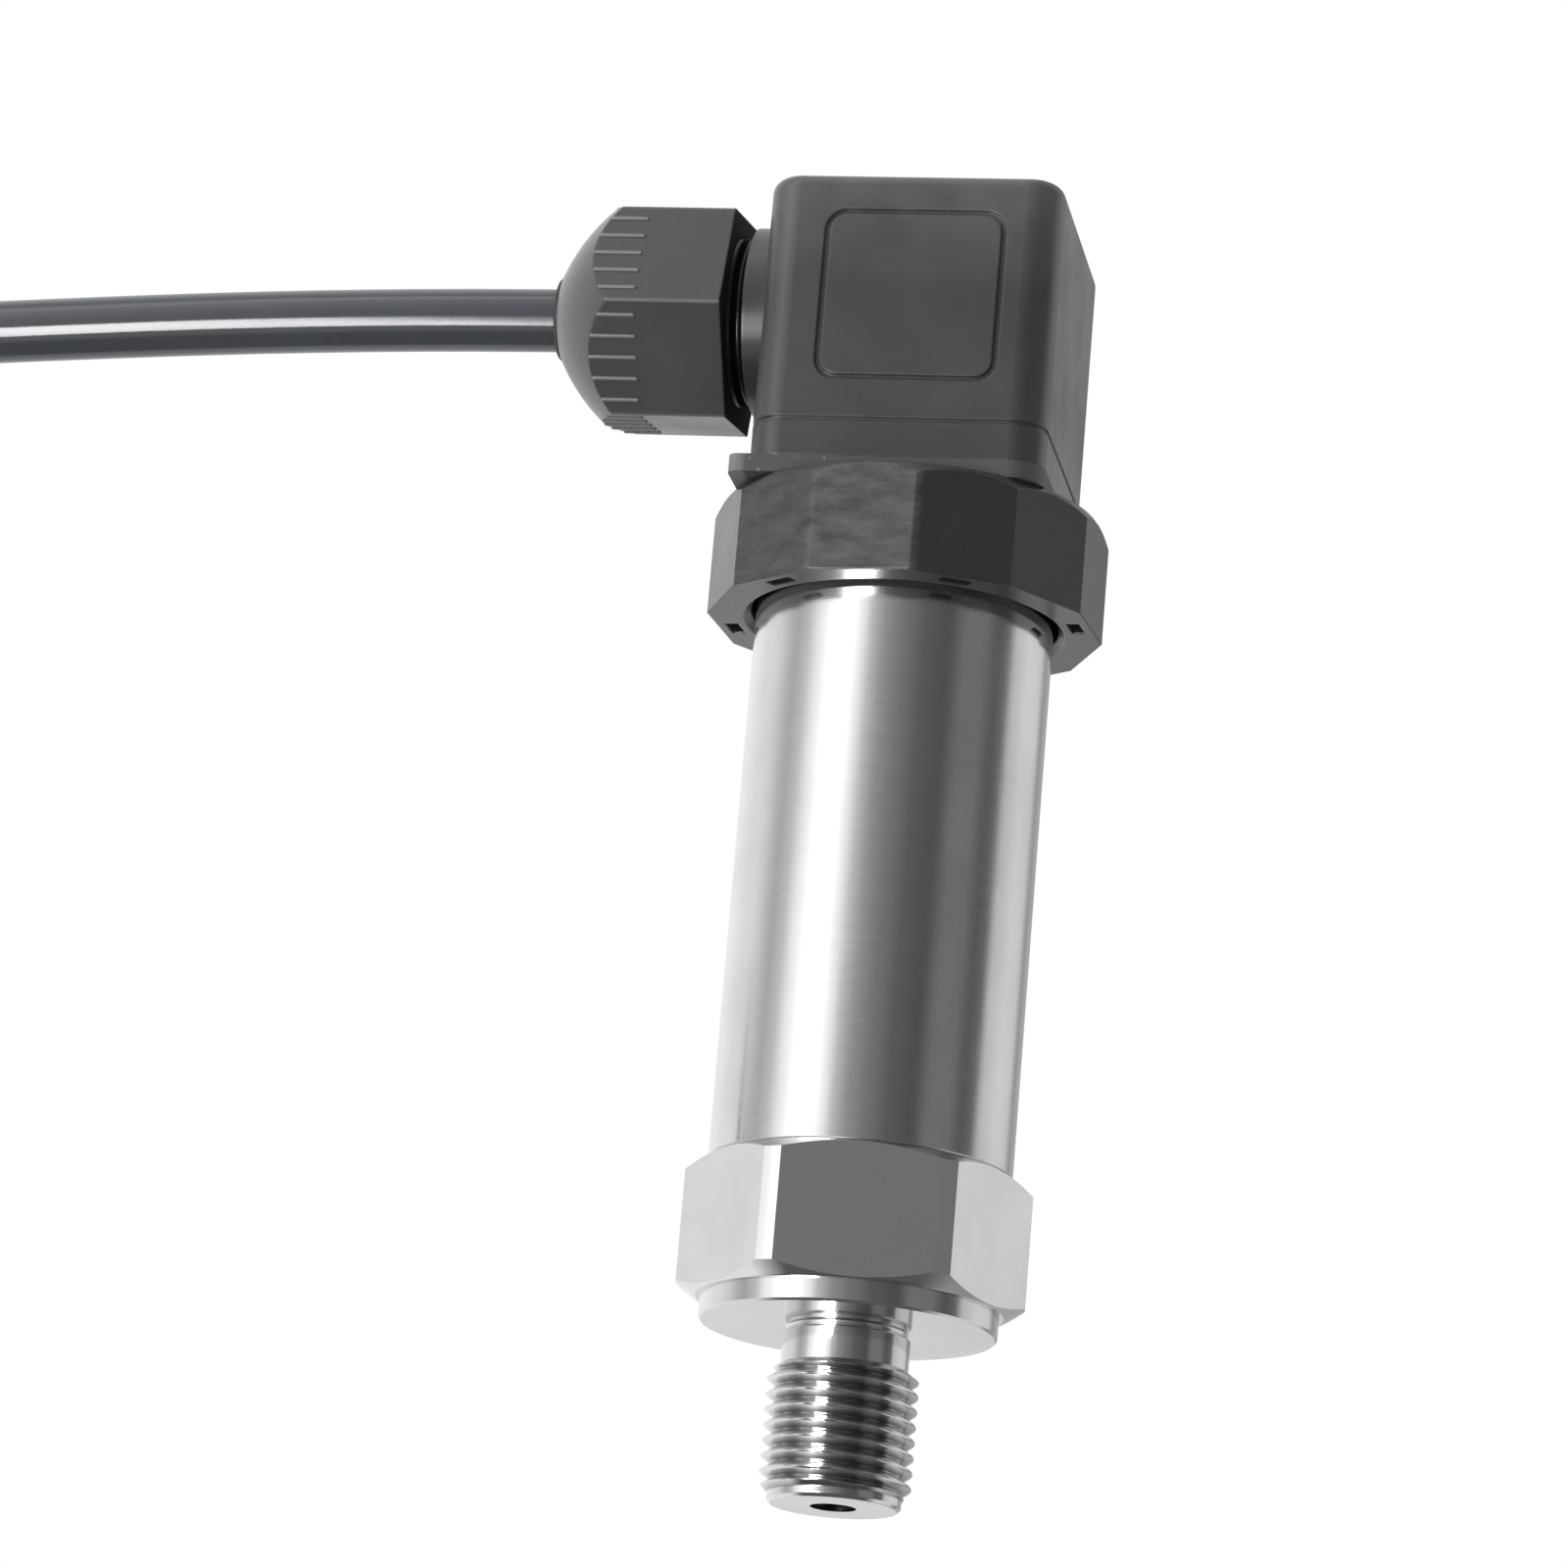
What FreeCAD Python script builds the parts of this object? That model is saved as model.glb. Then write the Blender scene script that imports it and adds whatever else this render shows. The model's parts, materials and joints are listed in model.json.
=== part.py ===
"""Pressure transmitter with a G 1/4 process thread, a square cable plug and a cable gland.

Frame, in millimetres: the origin is the middle of the collar's sealing face. +Z runs up the
axis to the plug, the process thread points down, the cable leaves along -X and the plug's
front faces -Y.
"""
import FreeCAD, Part
import math
import os
import re
import Sketcher
from FreeCAD import Placement, Rotation, Vector

# Driving dimensions, in millimetres and degrees. Each one becomes a named cell of the sheet.
SIZES = {
    # process fitting, one turned piece of steel
    "thread_diameter": 13.157,
    "thread_length": 11.1,
    "thread_chamfer": 0.75,
    "neck_diameter": 11.5,
    "neck_length": 1.6,
    "relief_diameter": 11.05,
    "relief_length": 1.8,
    "tip_diameter": 11.6,
    "tip_length": 0.9,
    "tip_chamfer": 0.3,
    "port_diameter": 4.0,
    "collar_diameter": 25.9,
    "collar_height": 2.0,
    "collar_chamfer": 0.2,
    "hex_width": 27.0,
    "hex_height": 11.9,
    "hex_corner_diameter": 30.28,
    "hex_face_diameter": 26.7,
    "hex_chamfer_angle": 30.0,
    "hex_turn": 10.0,
    "spigot_height": 8.0,
    # ceramic pressure cell and what holds it
    "cell_seat": 6.0,
    "cell_diameter": 18.0,
    "cell_height": 6.35,
    "cell_bore": 8.4,
    "cell_diaphragm": 0.8,
    "cell_clearance": 0.15,
    "cell_seal_diameter": 11.6,
    "cell_seal_section": 1.5,
    "pin_diameter": 0.7,
    "pin_height": 3.0,
    "pin_pitch": 2.54,
    "pin_row_offset": 5.2,
    "clamp_diameter": 20.0,
    "clamp_bore": 14.4,
    "clamp_height": 4.0,
    "clamp_slot_width": 2.0,
    "clamp_slot_depth": 1.5,
    # barrel and its two seals
    "barrel_diameter": 26.5,
    "barrel_wall": 1.0,
    "barrel_length": 55.5,
    "barrel_edge": 0.2,
    "seal_section": 1.2,
    "seal_groove_width": 1.6,
    "seal_groove_offset": 3.2,
    # amplifier on its carrier
    "carrier_clearance": 0.15,
    "carrier_wall": 2.0,
    "carrier_height": 3.0,
    "rail_height": 27.0,
    "rail_width": 4.0,
    "board_width": 19.8,
    "board_height": 27.0,
    "board_thickness": 1.6,
    "board_foot": 1.0,
    "board_slot_depth": 1.2,
    "chip_width": 7.0,
    "chip_thickness": 1.4,
    "chip_centre": 17.0,
    "capacitor_length": 3.2,
    "capacitor_width": 1.6,
    "capacitor_pitch": 5.0,
    "capacitor_centre": 9.6,
    "header_width": 10.4,
    "header_thickness": 3.6,
    "header_height": 3.0,
    "input_header_foot": 2.4,
    "flex_thickness": 0.3,
    "flex_width": 9.6,
    "flex_foot": 1.2,
    "flex_rise": 1.0,
    "output_lead_diameter": 1.0,
    # connector base: twelve-sided ring, spigot and blades
    "ring_corner_diameter": 35.2,
    "ring_turn": 10.0,
    "ring_overlap": 5.9,
    "ring_web": 4.1,
    "ring_top_bevel": 0.9,
    "ring_top_chamfer": 1.2,
    "ring_mouth_clearance": 0.45,
    "ring_mouth_depth": 3.6,
    "core_slot_count": 6,
    "core_slot_radius": 15.6,
    "core_slot_width": 2.8,
    "core_slot_thickness": 1.2,
    "core_slot_depth": 5.0,
    "base_spigot_depth": 7.4,
    "blade_width": 6.3,
    "blade_thickness": 0.8,
    "blade_rise": 10.0,
    "blade_tail": 2.5,
    "blade_point": 0.9,
    "contact_margin": 4.17,
    "insert_diameter": 4.4,
    "insert_length": 7.0,
    # flat gasket
    "gasket_thickness": 1.6,
    "gasket_overhang": 1.5,
    "gasket_corner": 1.0,
    "gasket_slot_margin": 0.5,
    # plug housing
    "housing_width": 26.34,
    "housing_back_extra": 1.03,
    "housing_height": 26.6,
    "housing_wall": 1.8,
    "housing_roof": 2.2,
    "housing_corner": 3.0,
    "housing_top_edge": 1.4,
    "seam_height": 3.4,
    "seam_width": 0.4,
    "seam_depth": 0.2,
    "panel_centre": 0.45,
    "panel_width": 16.3,
    "panel_height": 16.0,
    "panel_foot": 7.1,
    "panel_corner": 2.0,
    "panel_line_width": 0.5,
    "panel_line_depth": 0.35,
    "screw_well_diameter": 6.8,
    "screw_well_depth": 3.2,
    "screw_tower_wall": 1.6,
    # cable gland on the housing's side
    "gland_height": 16.9,
    "boss_diameter": 17.2,
    "boss_length": 2.4,
    "spout_diameter": 15.2,
    "spout_length": 13.03,
    "seal_pocket_diameter": 12.2,
    "seal_pocket_depth": 8.5,
    "cable_passage_diameter": 6.6,
    "cable_seal_length": 9.2,
    "cable_seal_clearance": 0.05,
    "thrust_washer_diameter": 14.8,
    "thrust_washer_bore": 6.8,
    "thrust_washer_thickness": 1.0,
    "nut_width": 19.0,
    "nut_length": 16.25,
    "nut_turn": 10.0,
    "nut_dome_length": 5.9,
    "nut_dome_radius": 18.0,
    "nut_end_diameter": 8.2,
    "nut_mouth_diameter": 6.8,
    "nut_mouth_chamfer": 0.3,
    "nut_standoff": 1.6,
    # contacts inside the plug
    "contact_block_height": 9.5,
    "contact_block_floor": 0.8,
    "contact_block_clearance": 0.2,
    "socket_width": 7.2,
    "socket_thickness": 3.8,
    "socket_inset": 0.5,
    "socket_height": 12.2,
    "socket_clearance": 0.05,
    "blade_slot_clearance": 0.06,
    "blade_slot_spare": 0.7,
    "wire_hole_diameter": 2.1,
    "wire_hole_drop": 1.9,
    "wire_hole_depth": 5.4,
    "terminal_screw_diameter": 2.5,
    "terminal_head_diameter": 3.7,
    "terminal_head_height": 1.3,
    "terminal_slot_width": 0.6,
    "terminal_slot_depth": 0.7,
    # centre screw
    "screw_diameter": 3.0,
    "screw_head_diameter": 5.6,
    "screw_head_height": 2.0,
    "screw_slot_width": 0.9,
    "screw_slot_depth": 1.0,
    "screw_washer_thickness": 1.0,
    "screw_end_gap": 1.0,
    # fits that several pieces share
    "thread_clearance": 0.05,
    "spigot_clearance": 0.05,
    "moulded_clearance": 0.02,
    # cable
    "cable_diameter": 5.8,
    "cable_inset": 10.9,
    "core_diameter": 1.8,
    "core_offset": 1.2,
    "core_grip": 3.0,
    "core_bend": 2.8,
    "coil_diameter": 61.0,
    "coil_columns": 3,
    "coil_layers": 2,
    "turn_spacing": 5.9,
    "coil_centre_x": 128.0,
    "coil_drop": 38.0,
    "coil_corner": 2.0,
    "tie_width": 3.6,
    "tie_thickness": 1.1,
    "tie_clearance": 0.15,
    "tie_angle": 200.0,
    "end_sheath_length": 6.0,
    "end_core_length": 9.0,
    "ferrule_length": 6.0,
    "ferrule_diameter": 1.2,
    "end_clearance": 0.3,
    "end_angle": 300.0,
    "end_lean": 30.0,
}

# Heights and half widths that follow from the driving dimensions.
PLACES = {
    "hex_top": "collar_height + hex_height",
    "hex_chamfer": "(hex_corner_diameter - hex_face_diameter) / 2 * tan(hex_chamfer_angle)",
    "relief_bottom": "neck_length + relief_length",
    "thread_bottom": "relief_bottom + thread_length",
    "tip": "thread_bottom + tip_length",
    "spigot_top": "hex_top + spigot_height",
    "barrel_inside": "barrel_diameter / 2 - barrel_wall",
    "barrel_top": "hex_top + barrel_length",
    "cell_top": "cell_seat + cell_height",
    "clamp_top": "cell_top + clamp_height",
    "carrier_outside": "barrel_inside - carrier_clearance",
    "board_bottom": "spigot_top + board_foot",
    "board_top": "board_bottom + board_height",
    "board_face": "board_thickness / 2",
    "input_header_bottom": "board_bottom + input_header_foot",
    "ring_bottom": "barrel_top - ring_overlap",
    "base_top": "barrel_top + ring_web",
    "base_spigot_bottom": "barrel_top - base_spigot_depth",
    "blade_bottom": "base_spigot_bottom - blade_tail",
    "blade_top": "base_top + blade_rise",
    "gasket_top": "base_top + gasket_thickness",
    "housing_side": "housing_width / 2",
    "housing_front": "housing_side",
    "housing_back": "housing_side + housing_back_extra",
    "contact_radius": "housing_side - contact_margin",
    "housing_top": "gasket_top + housing_height",
    "well_floor": "housing_top - screw_well_depth",
    "gland_axis": "gasket_top + gland_height",
    "boss_end": "housing_side + boss_length",
    "spout_end": "housing_side + spout_length",
    "pocket_end": "spout_end - seal_pocket_depth",
    "cable_seal_end": "pocket_end + cable_seal_length",
    "thrust_washer_end": "cable_seal_end + thrust_washer_thickness",
    "nut_start": "boss_end + nut_standoff",
    "nut_end": "nut_start + nut_length",
    "nut_corner_radius": "nut_width / 2 / cos(30)",
    "block_top": "gasket_top + contact_block_height",
    "block_inset": "housing_wall + contact_block_clearance",
    "socket_bottom": "gasket_top + contact_block_floor",
    "socket_top": "socket_bottom + socket_height",
    "socket_centre": "contact_radius - socket_inset",
    "wire_hole_height": "socket_top - wire_hole_drop",
    "terminal_tip": "wire_hole_height + core_diameter / 2 + moulded_clearance",
    "screw_seat": "well_floor + screw_washer_thickness",
    "screw_end": "base_top - insert_length + screw_end_gap",
    "coil_centre_height": "gland_axis - coil_drop",
    "coil_radius": "coil_diameter / 2",
    "coil_inside": "coil_radius - coil_layers * turn_spacing / 2",
    "coil_outside": "coil_radius + coil_layers * turn_spacing / 2",
    "coil_front": "-turn_spacing / 2",
    "coil_back": "coil_front + coil_columns * turn_spacing",
}

doc = FreeCAD.newDocument("PressureTransmitter")
sheet = doc.addObject("Spreadsheet::Sheet", "Sizes")
for row, (name, size) in enumerate(SIZES.items(), start=1):
    sheet.set(f"A{row}", name)
    sheet.set(f"B{row}", str(size))
    sheet.setAlias(f"B{row}", name)
doc.recompute()

parts = []


def bound(text):
    """The text as an expression on the sheet: places are spelled out and sizes point at cells."""

    def spell(match):
        word = match.group()
        if word in PLACES:
            return "(" + bound(PLACES[word]) + ")"
        return "Sizes." + word if word in SIZES else word

    return re.sub(r"[a-z_]+", spell, text)


def value(text):
    """What an expression comes to, as a plain number."""
    return float(sheet.evalExpression(bound(text)))


def keep(thing, label):
    """Name a finished sub-part; its label becomes its file's name."""
    thing.Label = label
    parts.append(thing)
    return thing


# ---- sketches and features ----


def new_body(label):
    return keep(doc.addObject("PartDesign::Body", label), label)


def sketch_on(body, plane, name, offset="0"):
    """A sketch on one of the body's origin planes, moved along the plane's normal."""
    sketch = body.newObject("Sketcher::SketchObject", name)
    face = [feature for feature in body.Origin.OriginFeatures if feature.Role == plane][0]
    sketch.AttachmentSupport = [(face, "")]
    sketch.MapMode = "FlatFace"
    if offset != "0":
        sketch.setExpression("AttachmentOffset.Base.z", bound(offset))
    return sketch


def bind(sketch, kind, places, text, number):
    index = sketch.addConstraint(Sketcher.Constraint(kind, *places, number))
    sketch.setExpression(f"Constraints[{index}]", bound(text))


def arc_between(start, end, radius, centre_right):
    """The shorter arc of that radius between two points; sketch arcs always run anticlockwise."""
    chord = end - start
    side = Vector(chord.y, -chord.x, 0) if centre_right else Vector(-chord.y, chord.x, 0)
    side.normalize()
    centre = (start + end) / 2 + side * math.sqrt(radius**2 - (chord.Length / 2) ** 2)
    first, last = (end, start) if centre_right else (start, end)
    angles = [math.atan2(p.y - centre.y, p.x - centre.x) for p in (first, last)]
    return Part.ArcOfCircle(Part.Circle(centre, Vector(0, 0, 1), radius), *angles)


def outline(sketch, corners):
    """A closed outline. A corner is (x, y); with a radius third, an arc runs on to the next
    corner, with its centre on the left of the way, or on the right where a fourth says so."""
    points = [Vector(value(corner[0]), value(corner[1]), 0) for corner in corners]
    first = sketch.GeometryCount
    ends = []
    for index, corner in enumerate(corners):
        start, end = points[index], points[(index + 1) % len(points)]
        if len(corner) == 2:
            sketch.addGeometry(Part.LineSegment(start, end))
            ends.append((1, 2))
        else:
            centre_right = len(corner) == 4
            sketch.addGeometry(arc_between(start, end, value(corner[2]), centre_right))
            ends.append((2, 1) if centre_right else (1, 2))
    for index, corner in enumerate(corners):
        edge, after = first + index, first + (index + 1) % len(corners)
        start_end, last_end = ends[index]
        next_start = ends[(index + 1) % len(corners)][0]
        sketch.addConstraint(Sketcher.Constraint("Coincident", edge, last_end, after, next_start))
        for kind, text, number, axis in (
            ("DistanceX", corner[0], points[index].x, -2),
            ("DistanceY", corner[1], points[index].y, -1),
        ):
            if text == "0":
                on_axis = Sketcher.Constraint("PointOnObject", edge, start_end, axis)
                sketch.addConstraint(on_axis)
            else:
                bind(sketch, kind, (-1, 1, edge, start_end), text, number)
        if len(corner) > 2:
            bind(sketch, "Radius", (edge,), corner[2], value(corner[2]))
    return sketch


def circle(sketch, x, y, radius):
    index = sketch.addGeometry(
        Part.Circle(Vector(value(x), value(y), 0), Vector(0, 0, 1), value(radius))
    )
    for kind, text, axis in (("DistanceX", x, -2), ("DistanceY", y, -1)):
        if text == "0":
            sketch.addConstraint(Sketcher.Constraint("PointOnObject", index, 3, axis))
        else:
            bind(sketch, kind, (-1, 1, index, 3), text, value(text))
    bind(sketch, "Radius", (index,), radius, value(radius))
    return sketch


def rectangle(x_low, x_high, y_low, y_high):
    return [(x_low, y_low), (x_high, y_low), (x_high, y_high), (x_low, y_high)]


def rounded_rectangle(x_low, x_high, y_low, y_high, radius):
    return [
        (f"{x_low} + {radius}", y_low),
        (f"{x_high} - ({radius})", y_low, radius),
        (x_high, f"{y_low} + {radius}"),
        (x_high, f"{y_high} - ({radius})", radius),
        (f"{x_high} - ({radius})", y_high),
        (f"{x_low} + {radius}", y_high, radius),
        (x_low, f"{y_high} - ({radius})"),
        (x_low, f"{y_low} + {radius}", radius),
    ]


def flattened(corners):
    """The same outline with a flat in the place of each arc."""
    return [corner[:2] for corner in corners]


def polygon(sides, radius, turn):
    """The corners of a regular polygon with its first corner at the angle turn."""
    angles = [f"({turn} + {360 / sides:g} * {index})" for index in range(sides)]
    return [(f"{radius} * cos({angle})", f"{radius} * sin({angle})") for angle in angles]


def spun(corners, turn):
    """The corners, turned about the sketch's origin by an angle."""
    return [
        (
            f"({x}) * cos({turn}) - ({y}) * sin({turn})",
            f"({x}) * sin({turn}) + ({y}) * cos({turn})",
        )
        for x, y in corners
    ]


def pad(body, name, sketch, length):
    feature = body.newObject("PartDesign::Pad", name)
    feature.Profile = sketch
    feature.setExpression("Length", bound(length))
    doc.recompute()
    return feature


def revolve(body, name, sketch, axis="V_Axis"):
    feature = body.newObject("PartDesign::Revolution", name)
    feature.Profile = sketch
    feature.ReferenceAxis = (sketch, [axis])
    feature.Angle = 360
    doc.recompute()
    return feature


def removed(body, feature, before):
    """Stop unless the feature has taken material away."""
    doc.recompute()
    if body.Shape.Volume > before - 1e-6:
        raise RuntimeError(f"{body.Label}: {feature.Name} cuts nothing")
    return feature


def groove(body, name, sketch, axis="V_Axis"):
    before = body.Shape.Volume
    feature = body.newObject("PartDesign::Groove", name)
    feature.Profile = sketch
    feature.ReferenceAxis = (sketch, [axis])
    feature.Angle = 360
    return removed(body, feature, before)


def pocket(body, name, sketch, depth, along_normal=False):
    """A pocket against the sketch plane's normal, or along it."""
    before = body.Shape.Volume
    feature = body.newObject("PartDesign::Pocket", name)
    feature.Profile = sketch
    feature.Reversed = along_normal
    feature.setExpression("Length", bound(depth))
    return removed(body, feature, before)


def turned(body, name, corners):
    """Turn a profile of (radius, height) corners about the body's own Z axis."""
    return revolve(body, name, outline(sketch_on(body, "XZ_Plane", name + "_profile"), corners))


def bored(body, name, corners):
    """Cut a profile of (radius, height) corners away about the body's own Z axis."""
    return groove(body, name, outline(sketch_on(body, "XZ_Plane", name + "_profile"), corners))


def turned_along_x(body, name, corners):
    sketch = outline(sketch_on(body, "XZ_Plane", name + "_profile"), corners)
    return revolve(body, name, sketch, "H_Axis")


def bored_along_x(body, name, corners):
    sketch = outline(sketch_on(body, "XZ_Plane", name + "_profile"), corners)
    return groove(body, name, sketch, "H_Axis")


def turn_about_axis(thing, angle):
    """Turn a finished sub-part about the transmitter's axis."""
    thing.Placement = Placement(Vector(), Rotation(Vector(0, 0, 1), angle))


def ring_seal(label, ring_radius, section, height):
    """A seal in its groove, with an eight-sided section as it is when squeezed."""
    half = f"({section} / 2 - moulded_clearance / 2)"
    corner = f"({half} * 0.5858)"
    sides = rounded_rectangle(
        f"{ring_radius} - {half}", f"{ring_radius} + {half}",
        f"{height} - {half}", f"{height} + {half}", corner,
    )
    turned(new_body(label), "seal", flattened(sides))


def block(label, low, size):
    """A plain box from its lowest corner and its three sides."""
    box = keep(doc.addObject("Part::Box", label), label)
    for side, text in zip(("Length", "Width", "Height"), size):
        box.setExpression(side, bound(text))
    for letter, text in zip("xyz", low):
        box.setExpression(f"Placement.Base.{letter}", bound(text))
    return box


# ---- pressure side ----


def process_fitting():
    body = new_body("process_fitting")
    hexagon = sketch_on(body, "XY_Plane", "hexagon", "collar_height")
    corner = "hex_width / 2 / cos(30)"
    pad(body, "wrench_hexagon", outline(hexagon, polygon(6, corner, "hex_turn")), "hex_height")
    clear = "hex_corner_diameter / 2 + 3"
    face, edge = "hex_face_diameter / 2", "hex_corner_diameter / 2"
    bored(
        body,
        "hexagon_turning",
        [
            (face, "collar_height"),
            (clear, "collar_height"),
            (clear, "hex_top"),
            (face, "hex_top"),
            (edge, "hex_top - hex_chamfer"),
            (edge, "collar_height + hex_chamfer"),
        ],
    )
    inner_edge = "relief_diameter / 2"
    outer = "thread_diameter / 2"
    tip_radius = "tip_diameter / 2"
    turned(
        body,
        "turned_shape",
        [
            ("0", "-(tip)"),
            (f"{tip_radius} - tip_chamfer", "-(tip)"),
            (tip_radius, "-(tip) + tip_chamfer"),
            (tip_radius, "-(thread_bottom)"),
            (outer, f"-(thread_bottom) + {outer} - {tip_radius}"),
            (outer, "-(relief_bottom) - thread_chamfer"),
            (inner_edge, "-(relief_bottom)"),
            (inner_edge, "-neck_length"),
            ("neck_diameter / 2", "-neck_length"),
            ("neck_diameter / 2", "0"),
            ("collar_diameter / 2 - collar_chamfer", "0"),
            ("collar_diameter / 2", "collar_chamfer"),
            ("collar_diameter / 2", "collar_height"),
            ("barrel_inside - spigot_clearance", "collar_height"),
            ("barrel_inside - spigot_clearance", "spigot_top"),
            ("0", "spigot_top"),
        ],
    )
    groove_low = "hex_top + seal_groove_offset"
    bored(
        body,
        "spigot_groove",
        rectangle(
            "barrel_inside - seal_section",
            "barrel_inside + 1",
            groove_low,
            groove_low + " + seal_groove_width",
        ),
    )
    cavity = "cell_diameter / 2 + cell_clearance"
    bored(
        body,
        "cavity",
        [
            ("0", "-(tip) - 1"),
            ("port_diameter / 2", "-(tip) - 1"),
            ("port_diameter / 2", "cell_seat"),
            (cavity, "cell_seat"),
            (cavity, "cell_top"),
            ("clamp_diameter / 2", "cell_top"),
            ("clamp_diameter / 2", "spigot_top + 1"),
            ("0", "spigot_top + 1"),
        ],
    )
    bored(
        body,
        "face_groove",
        rectangle(
            "cell_seal_diameter / 2 - cell_seal_section * 0.7",
            "cell_seal_diameter / 2 + cell_seal_section * 0.7",
            "cell_seat - cell_seal_section",
            "cell_seat + 1",
        ),
    )


def pressure_cell():
    ring_seal(
        "cell_seal", "cell_seal_diameter / 2", "cell_seal_section",
        "cell_seat - cell_seal_section / 2",
    )
    body = new_body("sensor_cell")
    turned(
        body,
        "ceramic_body",
        [
            ("cell_bore / 2", "cell_seat"),
            ("cell_diameter / 2", "cell_seat"),
            ("cell_diameter / 2", "cell_top"),
            ("0", "cell_top"),
            ("0", "cell_top - cell_diaphragm"),
            ("cell_bore / 2", "cell_top - cell_diaphragm"),
        ],
    )
    body = new_body("cell_pins")
    pins = sketch_on(body, "XY_Plane", "pin_row", "cell_top")
    for index in range(4):
        circle(pins, f"pin_pitch * {index - 1.5}", "-pin_row_offset", "pin_diameter / 2")
    feature = pad(body, "pins", pins, "pin_height")
    feature.AllowMultiFace = True
    body = new_body("retaining_ring")
    turned(
        body,
        "ring",
        rectangle(
            "clamp_bore / 2", "clamp_diameter / 2 - thread_clearance", "cell_top", "clamp_top"
        ),
    )
    slots = outline(
        sketch_on(body, "XY_Plane", "spanner_slots", "clamp_top"),
        rectangle(
            "-clamp_diameter", "clamp_diameter", "-clamp_slot_width / 2", "clamp_slot_width / 2"
        ),
    )
    pocket(body, "spanner_slot", slots, "clamp_slot_depth")


# ---- barrel and amplifier ----


def barrel():
    body = new_body("barrel")
    outer = "barrel_diameter / 2"
    turned(
        body,
        "tube",
        [
            ("barrel_inside", "hex_top"),
            (f"{outer} - barrel_edge", "hex_top"),
            (outer, "hex_top + barrel_edge"),
            (outer, "barrel_top - barrel_edge"),
            (f"{outer} - barrel_edge", "barrel_top"),
            ("barrel_inside", "barrel_top"),
        ],
    )
    seat = "barrel_inside - seal_section / 2"
    middle = "seal_groove_offset + seal_groove_width / 2"
    ring_seal("barrel_lower_seal", seat, "seal_section", f"hex_top + {middle}")
    ring_seal("barrel_upper_seal", seat, "seal_section", f"barrel_top - ({middle})")


def board_carrier():
    body = new_body("board_carrier")
    turned(
        body,
        "foot_ring",
        rectangle(
            "carrier_outside - carrier_wall",
            "carrier_outside",
            "spigot_top",
            "spigot_top + carrier_height",
        ),
    )
    inside, outside = "board_width / 2 - board_slot_depth", "carrier_outside - 0.6"
    for side in (1, -1):
        near, far = (inside, outside) if side > 0 else (f"-({outside})", f"-({inside})")
        rail = sketch_on(body, "XY_Plane", "rail_outline", "spigot_top")
        outline(rail, rectangle(near, far, "-rail_width / 2", "rail_width / 2"))
        pad(body, "rail", rail, "rail_height")
    slot = sketch_on(body, "XY_Plane", "board_slot_outline", "board_bottom")
    reach = "board_width / 2 + moulded_clearance"
    across = "board_face + moulded_clearance"
    outline(slot, rectangle(f"-({reach})", reach, f"-({across})", across))
    pocket(body, "board_slot", slot, "rail_height", along_normal=True)


def amplifier():
    block(
        "amplifier_board",
        ("-board_width / 2", "-board_face", "board_bottom"),
        ("board_width", "board_thickness", "board_height"),
    )
    block(
        "signal_chip",
        (
            "-chip_width / 2",
            "-board_face - chip_thickness",
            "board_bottom + chip_centre - chip_width / 2",
        ),
        ("chip_width", "chip_thickness", "chip_width"),
    )
    body = new_body("capacitors")
    faces = sketch_on(body, "XZ_Plane", "footprints", "board_face")
    for index in (-1, 0, 1):
        middle = f"capacitor_pitch * {index}"
        outline(
            faces,
            rectangle(
                f"{middle} - capacitor_length / 2",
                f"{middle} + capacitor_length / 2",
                "board_bottom + capacitor_centre - capacitor_width / 2",
                "board_bottom + capacitor_centre + capacitor_width / 2",
            ),
        )
    pad(body, "three_capacitors", faces, "capacitor_width")
    for label, height in (
        ("input_header", "input_header_bottom"),
        ("output_header", "board_top - header_height"),
    ):
        block(
            label,
            ("-header_width / 2", "-board_face - header_thickness", height),
            ("header_width", "header_thickness", "header_height"),
        )


# ---- connector base ----


def blade_hole(margin):
    """The outline of a blade on the +X side, with a margin all round."""
    half_thickness = f"(blade_thickness / 2 + {margin})"
    half_width = f"(blade_width / 2 + {margin})"
    return rectangle(
        f"contact_radius - {half_thickness}",
        f"contact_radius + {half_thickness}",
        f"-{half_width}",
        half_width,
    )


def turned_holes(body, name, sketch_name, corners, height, depth):
    """A pocket upwards on the +X side, and three more a quarter turn apart."""
    hole = outline(sketch_on(body, "XY_Plane", sketch_name, height), corners)
    feature = pocket(body, name, hole, depth, along_normal=True)
    return around(body, feature, name + "_pattern", "4")


def around(body, feature, name, count):
    before = body.Shape.Volume
    pattern = body.newObject("PartDesign::PolarPattern", name)
    pattern.Originals = [feature]
    axis = [item for item in body.Origin.OriginFeatures if item.Role == "Z_Axis"][0]
    pattern.Axis = (axis, [""])
    pattern.Angle = 360
    pattern.setExpression("Occurrences", bound(count))
    body.Tip = pattern
    return removed(body, pattern, before)


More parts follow.
